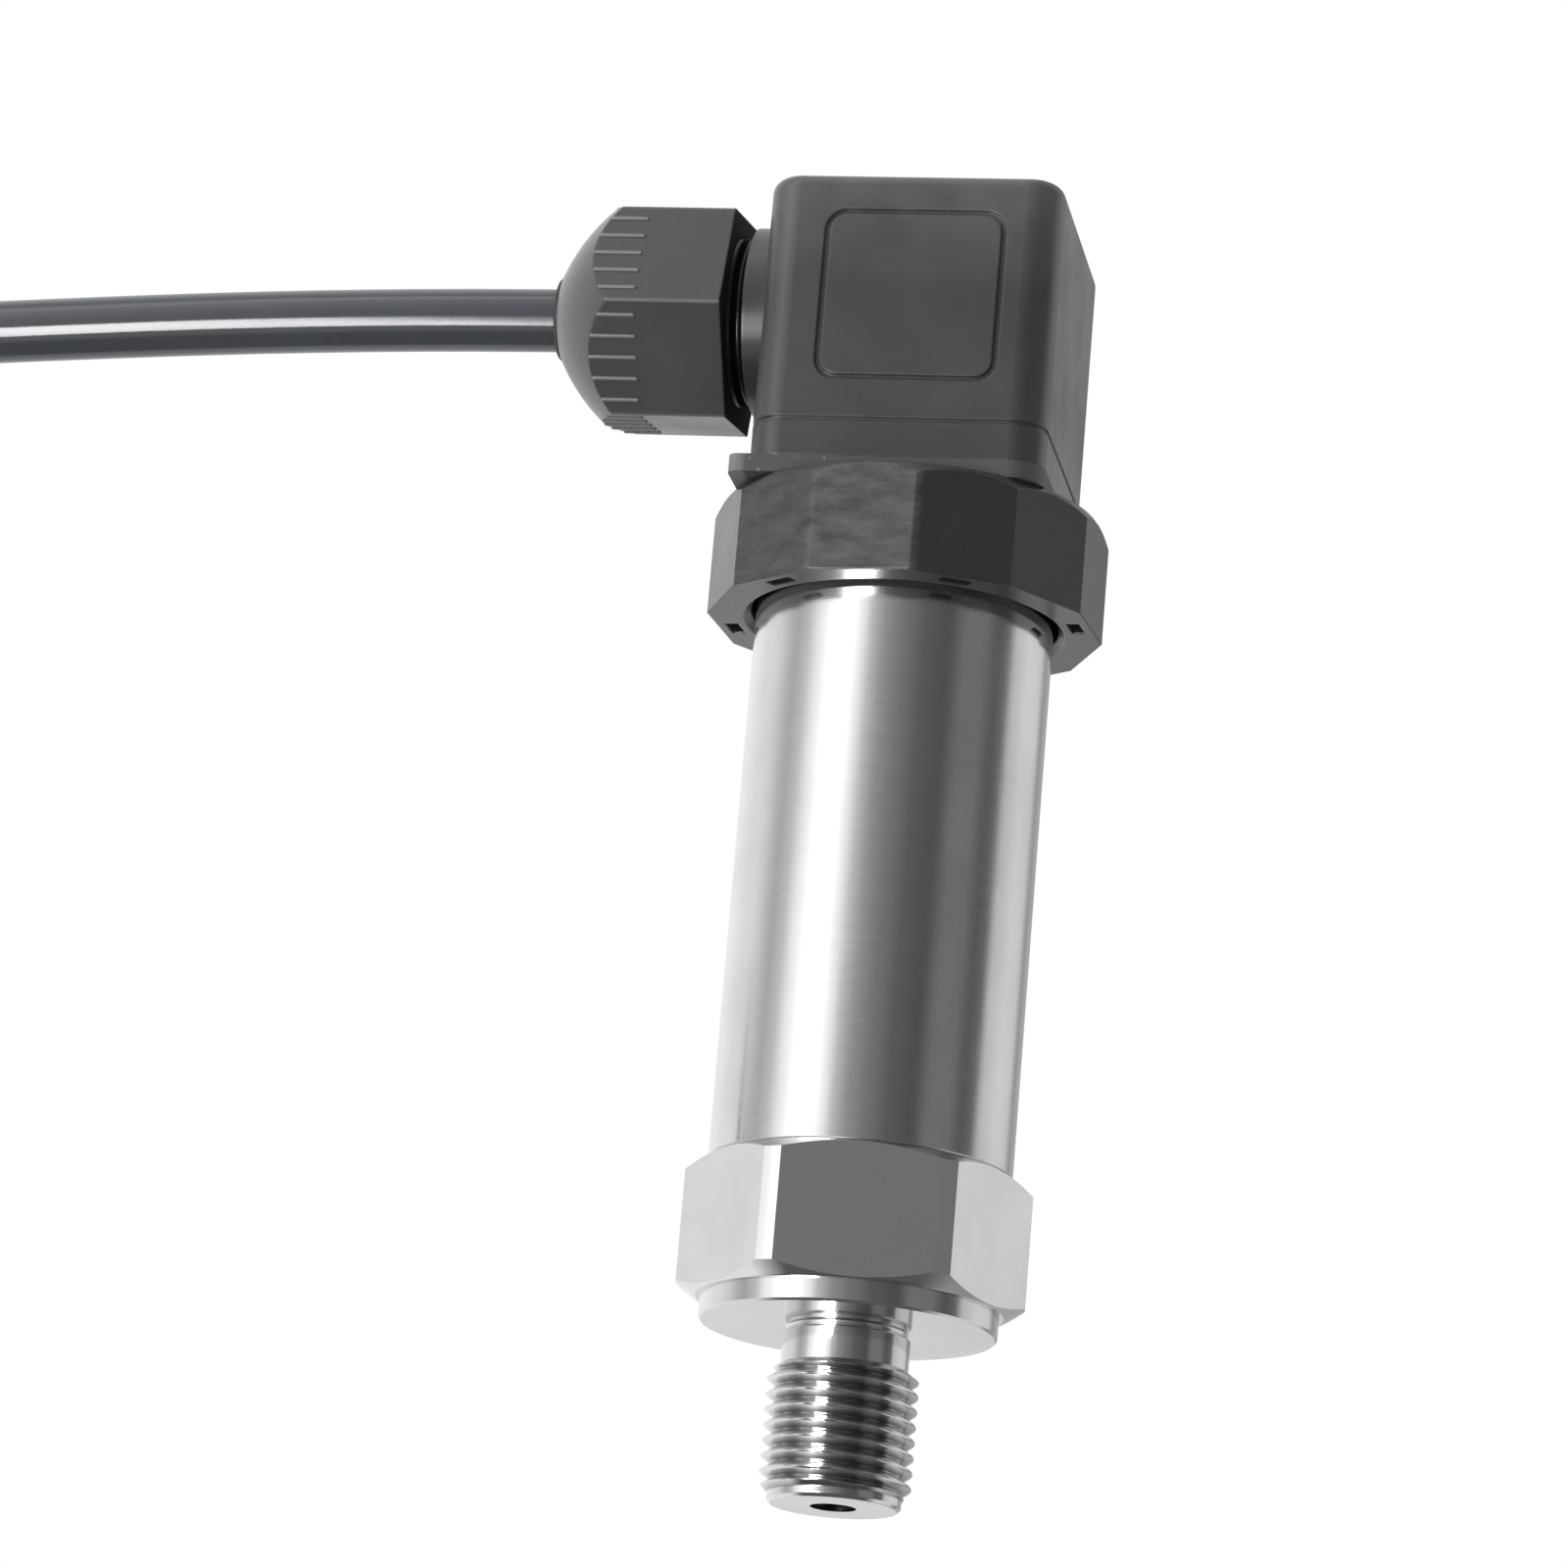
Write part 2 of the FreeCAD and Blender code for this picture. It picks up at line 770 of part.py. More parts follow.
def connector_base():
    body = new_body("connector_base")
    ring = outline(
        sketch_on(body, "XY_Plane", "twelve_sides", "ring_bottom"),
        polygon(12, "ring_corner_diameter / 2", "ring_turn"),
    )
    pad(body, "twelve_sided_ring", ring, "ring_overlap + ring_web")
    edge = "ring_corner_diameter / 2"
    bored(
        body,
        "top_chamfer",
        [
            (f"{edge} - ring_top_bevel", "base_top"),
            (f"{edge} + 0.01", "base_top - ring_top_chamfer"),
            (f"{edge} + 1", "base_top - ring_top_chamfer"),
            (f"{edge} + 1", "base_top + 0.5"),
            (f"{edge} - ring_top_bevel", "base_top + 0.5"),
        ],
    )
    fit = "barrel_diameter / 2 + spigot_clearance"
    mouth = "barrel_diameter / 2 + ring_mouth_clearance"
    shoulder = "ring_bottom + ring_mouth_depth"
    bored(
        body,
        "barrel_seat",
        [
            ("0", "ring_bottom - 1"),
            (f"{mouth} + 0.6", "ring_bottom - 1"),
            (f"{mouth} + 0.6", "ring_bottom"),
            (mouth, "ring_bottom + 0.6"),
            (mouth, shoulder),
            (fit, f"{shoulder} + ring_mouth_clearance"),
            (fit, "barrel_top"),
            ("0", "barrel_top"),
        ],
    )
    turned(
        body,
        "spigot",
        rectangle("0", "barrel_inside - spigot_clearance", "base_spigot_bottom", "barrel_top"),
    )
    groove_top = "barrel_top - seal_groove_offset"
    bored(
        body,
        "spigot_groove",
        rectangle(
            "barrel_inside - seal_section",
            "barrel_inside + 0.03",
            groove_top + " - seal_groove_width",
            groove_top,
        ),
    )
    slot = outline(
        sketch_on(body, "XY_Plane", "core_slot_outline", "ring_bottom"),
        spun(
            rectangle(
                "core_slot_radius - core_slot_thickness / 2",
                "core_slot_radius + core_slot_thickness / 2",
                "-core_slot_width / 2",
                "core_slot_width / 2",
            ),
            "(ring_turn - 180 / 12)",
        ),
    )
    feature = pocket(body, "core_slot", slot, "core_slot_depth", along_normal=True)
    around(body, feature, "core_slots", "core_slot_count")
    turned_holes(
        body, "blade_hole", "blade_hole_outline", blade_hole("moulded_clearance"),
        "base_spigot_bottom - 1", "base_top - base_spigot_bottom + 2",
    )
    bored(
        body,
        "insert_hole",
        rectangle(
            "0",
            "insert_diameter / 2 + moulded_clearance",
            "base_top - insert_length",
            "base_top + 1",
        ),
    )
    body = new_body("threaded_insert")
    turned(
        body,
        "insert",
        rectangle(
            "screw_diameter / 2 + thread_clearance",
            "insert_diameter / 2",
            "base_top - insert_length",
            "base_top",
        ),
    )


def blade(label, angle):
    """A flat contact blade, chamfered at its tip."""
    body = new_body(label)
    half, tip = "blade_width / 2", "blade_top"
    side = sketch_on(body, "YZ_Plane", "blade_face", "contact_radius - blade_thickness / 2")
    outline(
        side,
        [
            (f"-{half}", "blade_bottom"),
            (half, "blade_bottom"),
            (half, f"{tip} - blade_point"),
            (f"{half} - blade_point", tip),
            (f"-{half} + blade_point", tip),
            (f"-{half}", f"{tip} - blade_point"),
        ],
    )
    pad(body, "blade", side, "blade_thickness")
    turn_about_axis(body, angle)


def profile_gasket():
    body = new_body("profile_gasket")
    low_x, high_x = "-(housing_side) - gasket_overhang", "housing_side"
    shape = [
        (f"{low_x} + gasket_corner", "-housing_front"),
        (f"{high_x} - housing_corner", "-housing_front", "housing_corner"),
        (high_x, "-housing_front + housing_corner"),
        (high_x, "housing_back - housing_corner", "housing_corner"),
        (f"{high_x} - housing_corner", "housing_back"),
        (f"{low_x} + gasket_corner", "housing_back", "gasket_corner"),
        (low_x, "housing_back - gasket_corner"),
        (low_x, "-housing_front + gasket_corner", "gasket_corner"),
    ]
    flat = outline(sketch_on(body, "XY_Plane", "gasket_outline", "base_top"), shape)
    pad(body, "flat_gasket", flat, "gasket_thickness")
    hole = circle(
        sketch_on(body, "XY_Plane", "screw_hole_outline", "gasket_top"),
        "0", "0", "screw_diameter / 2 + gasket_slot_margin",
    )
    pocket(body, "screw_hole", hole, "gasket_thickness")
    turned_holes(
        body, "blade_slot", "blade_slot_outline", blade_hole("gasket_slot_margin"),
        "base_top", "gasket_thickness",
    )


# ---- plug ----


def housing_outline(inset, radius):
    return rounded_rectangle(
        f"-(housing_side) + {inset}",
        f"housing_side - {inset}",
        f"-housing_front + {inset}",
        f"housing_back - {inset}",
        radius,
    )


def panel_outline(inset):
    half = f"(panel_width / 2 - {inset})"
    foot = "gasket_top + panel_foot"
    return rounded_rectangle(
        f"panel_centre - {half}",
        f"panel_centre + {half}",
        f"{foot} + {inset}",
        f"{foot} + panel_height - {inset}",
        f"(panel_corner - {inset})",
    )


def plug_housing():
    body = new_body("plug_housing")
    footprint = sketch_on(body, "XY_Plane", "footprint", "gasket_top")
    outline(footprint, housing_outline("0.0", "housing_corner"))
    box = pad(body, "outer_box", footprint, "housing_height")
    top = max(range(len(box.Shape.Faces)), key=lambda i: box.Shape.Faces[i].CenterOfMass.z)
    rounding = body.newObject("PartDesign::Fillet", "top_rounding")
    rounding.Base = (box, [f"Face{top + 1}"])
    rounding.setExpression("Radius", bound("housing_top_edge"))
    doc.recompute()
    spout = sketch_on(body, "XZ_Plane", "spout_profile")
    outline(
        spout,
        [
            ("-(housing_side) + housing_wall", "gland_axis"),
            ("-(housing_side) + housing_wall", "gland_axis + boss_diameter / 2"),
            ("-(boss_end)", "gland_axis + boss_diameter / 2"),
            ("-(boss_end)", "gland_axis + spout_diameter / 2"),
            ("-(spout_end) + 0.5", "gland_axis + spout_diameter / 2"),
            ("-(spout_end)", "gland_axis + spout_diameter / 2 - 0.5"),
            ("-(spout_end)", "gland_axis"),
        ],
    )
    around_gland(body, "PartDesign::Revolution", "spout", spout)
    cavity = sketch_on(body, "XY_Plane", "cavity_outline", "gasket_top")
    outline(cavity, housing_outline("housing_wall", "(housing_corner - housing_wall)"))
    pocket(body, "cavity", cavity, "housing_height - housing_roof", along_normal=True)
    tower = circle(
        sketch_on(body, "XY_Plane", "tower_outline", "well_floor - screw_tower_wall"),
        "0", "0", "screw_well_diameter / 2 + screw_tower_wall",
    )
    pad(body, "screw_tower", tower, "screw_well_depth + screw_tower_wall - housing_roof / 2")
    bored(
        body,
        "screw_well",
        [
            ("0", "well_floor - screw_tower_wall - 1"),
            ("screw_diameter / 2 + 0.15", "well_floor - screw_tower_wall - 1"),
            ("screw_diameter / 2 + 0.15", "well_floor"),
            ("screw_well_diameter / 2", "well_floor"),
            ("screw_well_diameter / 2", "housing_top + 1"),
            ("0", "housing_top + 1"),
        ],
    )
    passage = sketch_on(body, "XZ_Plane", "passage_profile")
    outline(
        passage,
        [
            ("-(housing_side) + housing_wall + 1", "gland_axis"),
            ("-(housing_side) + housing_wall + 1", "gland_axis + cable_passage_diameter / 2"),
            ("-(pocket_end)", "gland_axis + cable_passage_diameter / 2"),
            ("-(pocket_end)", "gland_axis + seal_pocket_diameter / 2"),
            ("-(spout_end) - 1", "gland_axis + seal_pocket_diameter / 2"),
            ("-(spout_end) - 1", "gland_axis"),
        ],
    )
    around_gland(body, "PartDesign::Groove", "cable_passage", passage)
    seam_low = "gasket_top + seam_height - seam_width / 2"
    seam = sketch_on(body, "XY_Plane", "seam_outline", seam_low)
    outline(seam, housing_outline("-0.5", "(housing_corner + 0.5)"))
    outline(seam, housing_outline("seam_depth", "(housing_corner - seam_depth)"))
    pocket(body, "seam", seam, "seam_width", along_normal=True)
    panel = sketch_on(body, "XZ_Plane", "panel_line_outline", "housing_front")
    outline(panel, panel_outline("0.0"))
    outline(panel, panel_outline("panel_line_width"))
    pocket(body, "panel_line", panel, "panel_line_depth")


def around_gland(body, kind, name, sketch):
    """Turn a sketch about the cable's axis, which is its own lowest straight line."""
    before = body.Shape.Volume
    line = sketch.addGeometry(
        Part.LineSegment(
            Vector(-value("spout_end"), value("gland_axis"), 0), Vector(0, value("gland_axis"), 0)
        ),
        True,
    )
    sketch.addConstraint(Sketcher.Constraint("Horizontal", line))
    bind(sketch, "DistanceX", (-1, 1, line, 1), "-(spout_end)", -value("spout_end"))
    bind(sketch, "DistanceY", (-1, 1, line, 1), "gland_axis", value("gland_axis"))
    sketch.addConstraint(Sketcher.Constraint("PointOnObject", line, 2, -2))
    feature = body.newObject(kind, name)
    feature.Profile = sketch
    feature.ReferenceAxis = (sketch, ["Axis0"])
    feature.Angle = 360
    doc.recompute()
    grown = body.Shape.Volume - before
    if (grown <= 0) == (kind == "PartDesign::Revolution"):
        raise RuntimeError(f"{body.Label}: {name} changes nothing")
    return feature


def gland():
    """The pieces on the cable's axis, each modelled about its own X axis and raised to it."""
    seal = new_body("cable_seal")
    inner = "cable_diameter / 2 + moulded_clearance"
    turned_along_x(
        seal,
        "bush",
        rectangle(
            "-(cable_seal_end)",
            "-(pocket_end)",
            inner,
            "seal_pocket_diameter / 2 - cable_seal_clearance",
        ),
    )
    washer = new_body("thrust_washer")
    turned_along_x(
        washer,
        "washer",
        rectangle(
            "-(thrust_washer_end)",
            "-(cable_seal_end)",
            "thrust_washer_bore / 2",
            "thrust_washer_diameter / 2",
        ),
    )
    nut = new_body("gland_nut")
    hexagon = sketch_on(nut, "YZ_Plane", "nut_hexagon", "-(nut_end)")
    outline(hexagon, polygon(6, "nut_corner_radius", "(180 + nut_turn)"))
    pad(nut, "nut_prism", hexagon, "nut_length")
    beyond = "nut_corner_radius + 2"
    bored_along_x(
        nut,
        "dome",
        [
            ("-(nut_end) - 1", "nut_end_diameter / 2"),
            ("-(nut_end)", "nut_end_diameter / 2", "nut_dome_radius", True),
            ("-(nut_end) + nut_dome_length", "nut_corner_radius"),
            ("-(nut_end) + nut_dome_length", beyond),
            ("-(nut_end) - 1", beyond),
        ],
    )
    mouth = "nut_mouth_diameter / 2"
    bored_along_x(
        nut,
        "nut_bore",
        [
            ("-(nut_end) - 1", "0"),
            ("-(nut_end) - 1", f"{mouth} + nut_mouth_chamfer"),
            ("-(nut_end)", f"{mouth} + nut_mouth_chamfer"),
            ("-(nut_end) + nut_mouth_chamfer", mouth),
            ("-(thrust_washer_end)", mouth),
            ("-(thrust_washer_end)", "spout_diameter / 2 + thread_clearance"),
            ("-(nut_start) + 1", "spout_diameter / 2 + thread_clearance"),
            ("-(nut_start) + 1", "0"),
        ],
    )
    for body in (seal, washer, nut):
        body.setExpression("Placement.Base.z", bound("gland_axis"))


def contact_block():
    body = new_body("contact_block")
    footprint = sketch_on(body, "XY_Plane", "block_footprint", "gasket_top")
    outline(footprint, housing_outline("block_inset", "(housing_corner - housing_wall)"))
    pad(body, "block", footprint, "contact_block_height")
    hole = circle(
        sketch_on(body, "XY_Plane", "screw_passage_outline", "block_top"),
        "0", "0", "screw_diameter / 2 + 0.4",
    )
    pocket(body, "screw_passage", hole, "contact_block_height")
    turned_holes(
        body, "socket_pocket", "socket_pocket_outline", socket_outline("socket_clearance"),
        "socket_bottom", "contact_block_height",
    )
    turned_holes(
        body, "blade_opening", "blade_opening_outline", blade_hole("blade_slot_clearance * 4"),
        "gasket_top", "contact_block_floor + 0.5",
    )


def socket_outline(margin):
    half_thickness = f"(socket_thickness / 2 + {margin})"
    half_width = f"(socket_width / 2 + {margin})"
    return rectangle(
        f"socket_centre - {half_thickness}",
        f"socket_centre + {half_thickness}",
        f"-{half_width}",
        half_width,
    )


def contact_socket(label, angle, side):
    """A brass clamp: a slot for the blade, a hole for the wire in one side, a screw above."""
    body = new_body(label)
    sketch = sketch_on(body, "XY_Plane", "socket_footprint", "socket_bottom")
    outline(sketch, socket_outline("0.0"))
    pad(body, "socket", sketch, "socket_height")
    slot = sketch_on(body, "XY_Plane", "slot_footprint", "socket_bottom")
    outline(slot, blade_hole("blade_slot_clearance"))
    pocket(
        body, "blade_slot", slot, "blade_top - socket_bottom + blade_slot_spare",
        along_normal=True,
    )
    wire = sketch_on(body, "XZ_Plane", "wire_hole_circle", f"{-side} * socket_width / 2")
    circle(wire, "socket_centre", "wire_hole_height", "wire_hole_diameter / 2")
    pocket(body, "wire_hole", wire, "wire_hole_depth", along_normal=side > 0)
    screw = sketch_on(body, "XY_Plane", "screw_hole_circle", "socket_top")
    circle(screw, "socket_centre", "0", "terminal_screw_diameter / 2 + thread_clearance")
    pocket(body, "screw_hole", screw, "wire_hole_drop")
    turn_about_axis(body, angle)


def slotted_screw(label, radius, head_radius, tip, seat, head_height, slot):
    """A cheese-head screw, upright on its own axis, with a slot of (width, depth)."""
    body = new_body(label)
    turned(
        body,
        "screw",
        [
            ("0", tip),
            (f"{radius} - 0.3", tip),
            (radius, f"{tip} + 0.3"),
            (radius, seat),
            (head_radius, seat),
            (head_radius, f"{seat} + {head_height} - 0.2"),
            (f"{head_radius} - 0.2", f"{seat} + {head_height}"),
            ("0", f"{seat} + {head_height}"),
        ],
    )
    width, depth = slot
    cut = sketch_on(body, "XY_Plane", "driver_slot_outline", f"{seat} + {head_height}")
    outline(
        cut,
        rectangle(f"-{head_radius} - 1", f"{head_radius} + 1", f"-{width} / 2", f"{width} / 2"),
    )
    pocket(body, "driver_slot", cut, depth)
    return body


def terminal_screw(label, angle):
    body = slotted_screw(
        label,
        "terminal_screw_diameter / 2",
        "terminal_head_diameter / 2",
        "terminal_tip",
        "socket_top",
        "terminal_head_height",
        ("terminal_slot_width", "terminal_slot_depth"),
    )
    angle_text = f"{angle}"
    body.Placement = Placement(Vector(), Rotation(Vector(0, 0, 1), angle))
    body.setExpression("Placement.Base.x", bound(f"socket_centre * cos({angle_text})"))
    body.setExpression("Placement.Base.y", bound(f"socket_centre * sin({angle_text})"))


def centre_screw():
    washer = new_body("screw_washer")
    turned(
        washer,
        "washer",
        rectangle(
            "screw_diameter / 2 + 0.1",
            "screw_well_diameter / 2 - 0.15",
            "well_floor",
            "screw_seat",
        ),
    )
    slotted_screw(
        "centre_screw",
        "screw_diameter / 2",
        "screw_head_diameter / 2",
        "screw_end",
        "screw_seat",
        "screw_head_height",
        ("screw_slot_width", "screw_slot_depth"),
    )


# ---- wires and cable ----


def rounded_path(points):
    """Straight runs through the points, joined by the largest arcs that their runs allow."""
    edges, radii, reached = [], [], points[0]
    for before, here, after in zip(points, points[1:], points[2:]):
        back, ahead = (before - here), (after - here)
        shorter = min(back.Length, ahead.Length)
        half_turn = (math.pi - back.getAngle(ahead)) / 2
        radius = 0.45 * shorter / math.tan(half_turn)
        trim = 0.45 * shorter
        back.normalize()
        ahead.normalize()
        start, end = here + back * trim, here + ahead * trim
        middle_way = back + ahead
        middle_way.normalize()
        to_middle = radius / math.cos(half_turn) - radius
        middle = here + middle_way * to_middle
        edges.append(Part.LineSegment(reached, start).toShape())
        edges.append(Part.Arc(start, middle, end).toShape())
        radii.append(radius)
        reached = end
    edges.append(Part.LineSegment(reached, points[-1]).toShape())
    return Part.Wire(edges), radii


def tube(points, radius):
    """A round solid along the path, checked against its section times its length."""
    path, radii = rounded_path(points)
    direction = points[1] - points[0]
    section = Part.Wire(Part.Circle(points[0], direction, radius).toShape())
    solid = path.makePipeShell([section], True, False)
    expected = math.pi * radius**2 * path.Length
    if abs(solid.Volume / expected - 1) > 0.01:
        raise RuntimeError(f"a tube has volume {solid.Volume:.1f}, expected {expected:.1f}")
    return solid, path.Length, radii


def wires(label, routes, diameter):
    """One or more wires of one kind, each along its own route."""
    solids = [tube(route, value(diameter) / 2)[0] for route in routes]
    feature = doc.addObject("Part::Feature", label)
    feature.Shape = solids[0] if len(solids) == 1 else Part.makeCompound(solids)
    return keep(feature, label)


def cell_flex():
    """The flat lead that stands on the cell's pins and runs up into the board's header."""
    body = new_body("cell_flex")
    foot, top = "cell_top + pin_height", "input_header_bottom"
    near, far = "-(board_face) - header_thickness / 2", "-pin_row_offset"
    half = "flex_thickness / 2"
    side = sketch_on(body, "YZ_Plane", "flex_side", "-flex_width / 2")
    outline(
        side,
        [
            (f"{far} - {half}", foot),
            (f"{far} + {half}", foot),
            (f"{far} + {half}", f"{foot} + flex_foot"),
            (f"{near} + {half}", f"{top} - flex_rise"),
            (f"{near} + {half}", top),
            (f"{near} - {half}", top),
            (f"{near} - {half}", f"{top} - flex_rise"),
            (f"{far} - {half}", f"{foot} + flex_foot"),
        ],
    )
    pad(body, "flex", side, "flex_width")


def output_leads():
    """Three leads from the board's upper header to contacts 1 and 2 and the earth blade."""
    face_y = -value("board_face + header_thickness / 2")
    start, end, reach = value("board_top"), value("blade_bottom"), value("contact_radius")
    aside = value("header_width") * 0.29
    routes = []
    for x_start, x_end, y_end in ((0, 0, -reach), (-aside, 0, reach), (aside, reach, 0)):
        routes.append(
            [
                Vector(x_start, face_y, start),
                Vector(x_start, face_y, start + 0.45 * (end - start)),
                Vector(x_end, y_end, end - 0.35 * (end - start)),
                Vector(x_end, y_end, end),
            ]
        )
    wires("output_leads", routes, "output_lead_diameter")


def cable_cores():
    """Three cores from the sheath's end to the two signal sockets and the earth socket."""
    start_x, axis = -value("cable_inset"), value("gland_axis")
    offset, hole = value("core_offset"), value("wire_hole_height")
    centre, edge = value("socket_centre"), value("socket_width / 2")
    grip = edge - value("core_grip")
    bend = value("core_bend")
    for label, side in (("core_brown", -1), ("core_blue", 1)):
        start_y = side * offset * math.cos(math.radians(30))
        route = [
            Vector(start_x, start_y, axis - offset / 2),
            Vector(start_x + 0.64 * bend, start_y, axis - offset / 2),
            Vector(-edge - 0.93 * bend, side * (centre - 0.36 * bend), hole + 0.93 * bend),
            Vector(-edge - 0.43 * bend, side * centre, hole),
            Vector(-grip, side * centre, hole),
        ]
        wires(label, [route], "core_diameter")
    route = [
        Vector(start_x, 0, axis + offset),
        Vector(start_x + 1.64 * bend, 0, axis + offset),
        Vector(-0.43 * bend, edge + 0.07 * bend, axis + 0.14 * bend),
        Vector(edge + 0.14 * bend, edge + 1.2 * bend, axis - 0.57 * bend),
        Vector(centre - 0.2 * bend, edge + 2 * bend, axis - 1.43 * bend),
        Vector(centre, edge + bend, hole),
        Vector(centre, grip, hole),
    ]
    wires("core_earth", [route], "core_diameter")


def cable():
    """The sheathed cable, from inside the plug through the gland to its coil."""
    axis = value("gland_axis")
    route = [
        Vector(-value("cable_inset"), 0, axis),
        Vector(-35.2, 0, axis),
        Vector(-60.0, 0, axis - 0.7),
        Vector(-84.6, 0, axis - 2.15),
        Vector(-109.0, 0, axis - 3.85),
    ]
    solid, length, radii = tube(route, value("cable_diameter") / 2)
    print("cable: length", round(length, 1), "radii", [round(radius) for radius in radii])
    feature = doc.addObject("Part::Feature", "cable")
    feature.Shape = solid
    keep(feature, "cable")


def at_coil(thing):
    """Stand a piece that is modelled about Z in the coil's own place, with its axis along Y."""
    thing.Placement = Placement(Vector(), Rotation(Vector(1, 0, 0), -90))
    thing.setExpression("Placement.Base.x", bound("-coil_centre_x"))
    thing.setExpression("Placement.Base.z", bound("coil_centre_height"))


def cable_coil():
    body = new_body("cable_coil")
    section = rounded_rectangle(
        "coil_inside", "coil_outside", "coil_front", "coil_back", "coil_corner"
    )
    turned(body, "bundle", flattened(section))
    at_coil(body)


def cable_tie():
    body = new_body("cable_tie")
    near, far = "coil_inside - tie_clearance", "coil_outside + tie_clearance"
    front, back = "coil_front - tie_clearance", "coil_back + tie_clearance"
    sketch = sketch_on(body, "XZ_Plane", "tie_outline", "-tie_width / 2")
    corner = "(coil_corner + tie_thickness * 0.6)"
    outer = rounded_rectangle(
        f"{near} - tie_thickness", f"{far} + tie_thickness",
        f"{front} - tie_thickness", f"{back} + tie_thickness", corner,
    )
    outline(sketch, flattened(outer))
    outline(sketch, flattened(rounded_rectangle(near, far, front, back, "coil_corner")))
    pad(body, "band", sketch, "tie_width")
    at_coil(body)
    turn = Rotation(Vector(0, 1, 0), -value("tie_angle"))
    body.Placement = Placement(body.Placement.Base, turn * body.Placement.Rotation)


def cable_end():
    """The sheath's far end inside the coil, with three cores in ferrules."""
    turn = math.radians(value("end_angle"))
    radial = Vector(math.cos(turn), 0, math.sin(turn))
    along = Vector(-math.sin(turn), 0, math.cos(turn))
    lean = math.radians(value("end_lean"))
    along = along * math.cos(lean) - radial * math.sin(lean)
    sheath_radius = value("cable_diameter") / 2
    room = value("coil_inside - end_clearance")
    reach = math.sqrt(room**2 - (sheath_radius * math.sin(lean)) ** 2)
    reach -= sheath_radius * math.cos(lean)
    middle = Vector(-value("coil_centre_x"), 0, value("coil_centre_height"))
    start = middle + radial * reach + Vector(0, value("turn_spacing"), 0)
    sheath = Part.makeCylinder(sheath_radius, value("end_sheath_length"), start, along)
    pieces = [sheath]
    across = along.cross(Vector(0, 1, 0))
    for index in range(3):
        angle = math.radians(120 * index)
        aside = across * math.cos(angle) + Vector(0, 1, 0) * math.sin(angle)
        foot = start + along * value("end_sheath_length") + aside * value("core_offset")
        core = value("end_core_length")
        pieces.append(Part.makeCylinder(value("core_diameter") / 2, core, foot, along))
        pieces.append(
            Part.makeCylinder(
                value("ferrule_diameter") / 2, value("ferrule_length"), foot + along * core, along
            )
        )
    feature = doc.addObject("Part::Feature", "cable_end")
    feature.Shape = pieces[0].multiFuse(pieces[1:])
    keep(feature, "cable_end")


# ---- the whole transmitter ----

process_fitting()
pressure_cell()
barrel()
board_carrier()
amplifier()
connector_base()
CONTACTS = (("contact_1", 270, -1), ("contact_2", 90, 1), ("contact_3", 180, 1), ("earth", 0, 1))
for contact, angle, side in CONTACTS:
    blade(f"{contact}_blade", angle)
profile_gasket()
plug_housing()
contact_block()
for contact, angle, side in CONTACTS:
    contact_socket(f"{contact}_socket", angle, side)
    terminal_screw(f"{contact}_screw", angle)
centre_screw()
gland()
cell_flex()
output_leads()
cable_cores()
cable()
cable_coil()
cable_tie()
cable_end()
doc.recompute()

for item in doc.Objects:
    if "Invalid" in item.State or "Error" in item.State:
        raise RuntimeError(f"{item.Label} failed: {item.State}")
for item in parts:
    if item.Shape.isNull() or not item.Shape.isValid():
        raise RuntimeError(f"{item.Label} has no valid shape")

os.makedirs("parts", exist_ok=True)
for item in parts:
    item.Shape.exportStep(f"parts/{item.Label}.step")
print(len(parts), "sub-parts")
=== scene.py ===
# %% [markdown]
# # A pressure transmitter
#
# A steel pressure transmitter that screws into a pipe with a G 1/4 thread. A round ground
# barrel holds its electronics, and a square cable plug with a hexagon gland sits on top.
# The solid pieces come from the CAD frame, which already has them at their true sizes. This
# lesson adds the camera, the light, the finishes, and what the solids leave out: the helical
# thread, the gland nut's fine ribs, a black ring of painted shade at the nut's mouth drawn as the
# seal's lip, the tie's head and one smooth cable.
#
# All lengths in the frame are metres. The axis of the transmitter is Z, the cable leaves
# along -X, and the plug's front faces -Y.

# %% Load the frame
import bpy
import bmesh
import json
import math
from mathutils import Euler, Matrix, Vector


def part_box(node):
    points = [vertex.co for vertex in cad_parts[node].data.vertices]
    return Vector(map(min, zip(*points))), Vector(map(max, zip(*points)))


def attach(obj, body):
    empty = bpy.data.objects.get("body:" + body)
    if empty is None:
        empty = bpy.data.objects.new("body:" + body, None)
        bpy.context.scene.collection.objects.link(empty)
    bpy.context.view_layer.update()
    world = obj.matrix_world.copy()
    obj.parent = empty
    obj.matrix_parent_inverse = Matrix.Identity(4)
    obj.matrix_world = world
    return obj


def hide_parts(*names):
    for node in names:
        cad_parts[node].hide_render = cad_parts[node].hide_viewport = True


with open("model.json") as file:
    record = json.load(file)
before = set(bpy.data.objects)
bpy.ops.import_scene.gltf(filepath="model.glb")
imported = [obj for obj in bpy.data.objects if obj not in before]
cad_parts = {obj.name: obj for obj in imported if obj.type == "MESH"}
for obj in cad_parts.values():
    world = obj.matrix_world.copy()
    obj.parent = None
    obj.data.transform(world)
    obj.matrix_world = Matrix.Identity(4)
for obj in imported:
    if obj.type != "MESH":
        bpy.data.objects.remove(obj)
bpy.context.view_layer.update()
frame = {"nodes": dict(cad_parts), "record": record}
nodes = frame["nodes"]
mounts = {mount["name"]: mount for mount in frame["record"]["mounts"]}
MM = 0.001

# %% [markdown]
# ## Camera
#
# The transmitter is seen from below and a little from its right, with a long lens and the
# camera rolled by a few degrees, so the object leans in the picture. An Euler angle gives
# the camera its yaw and pitch, and the roll is a turn about its own line of sight.

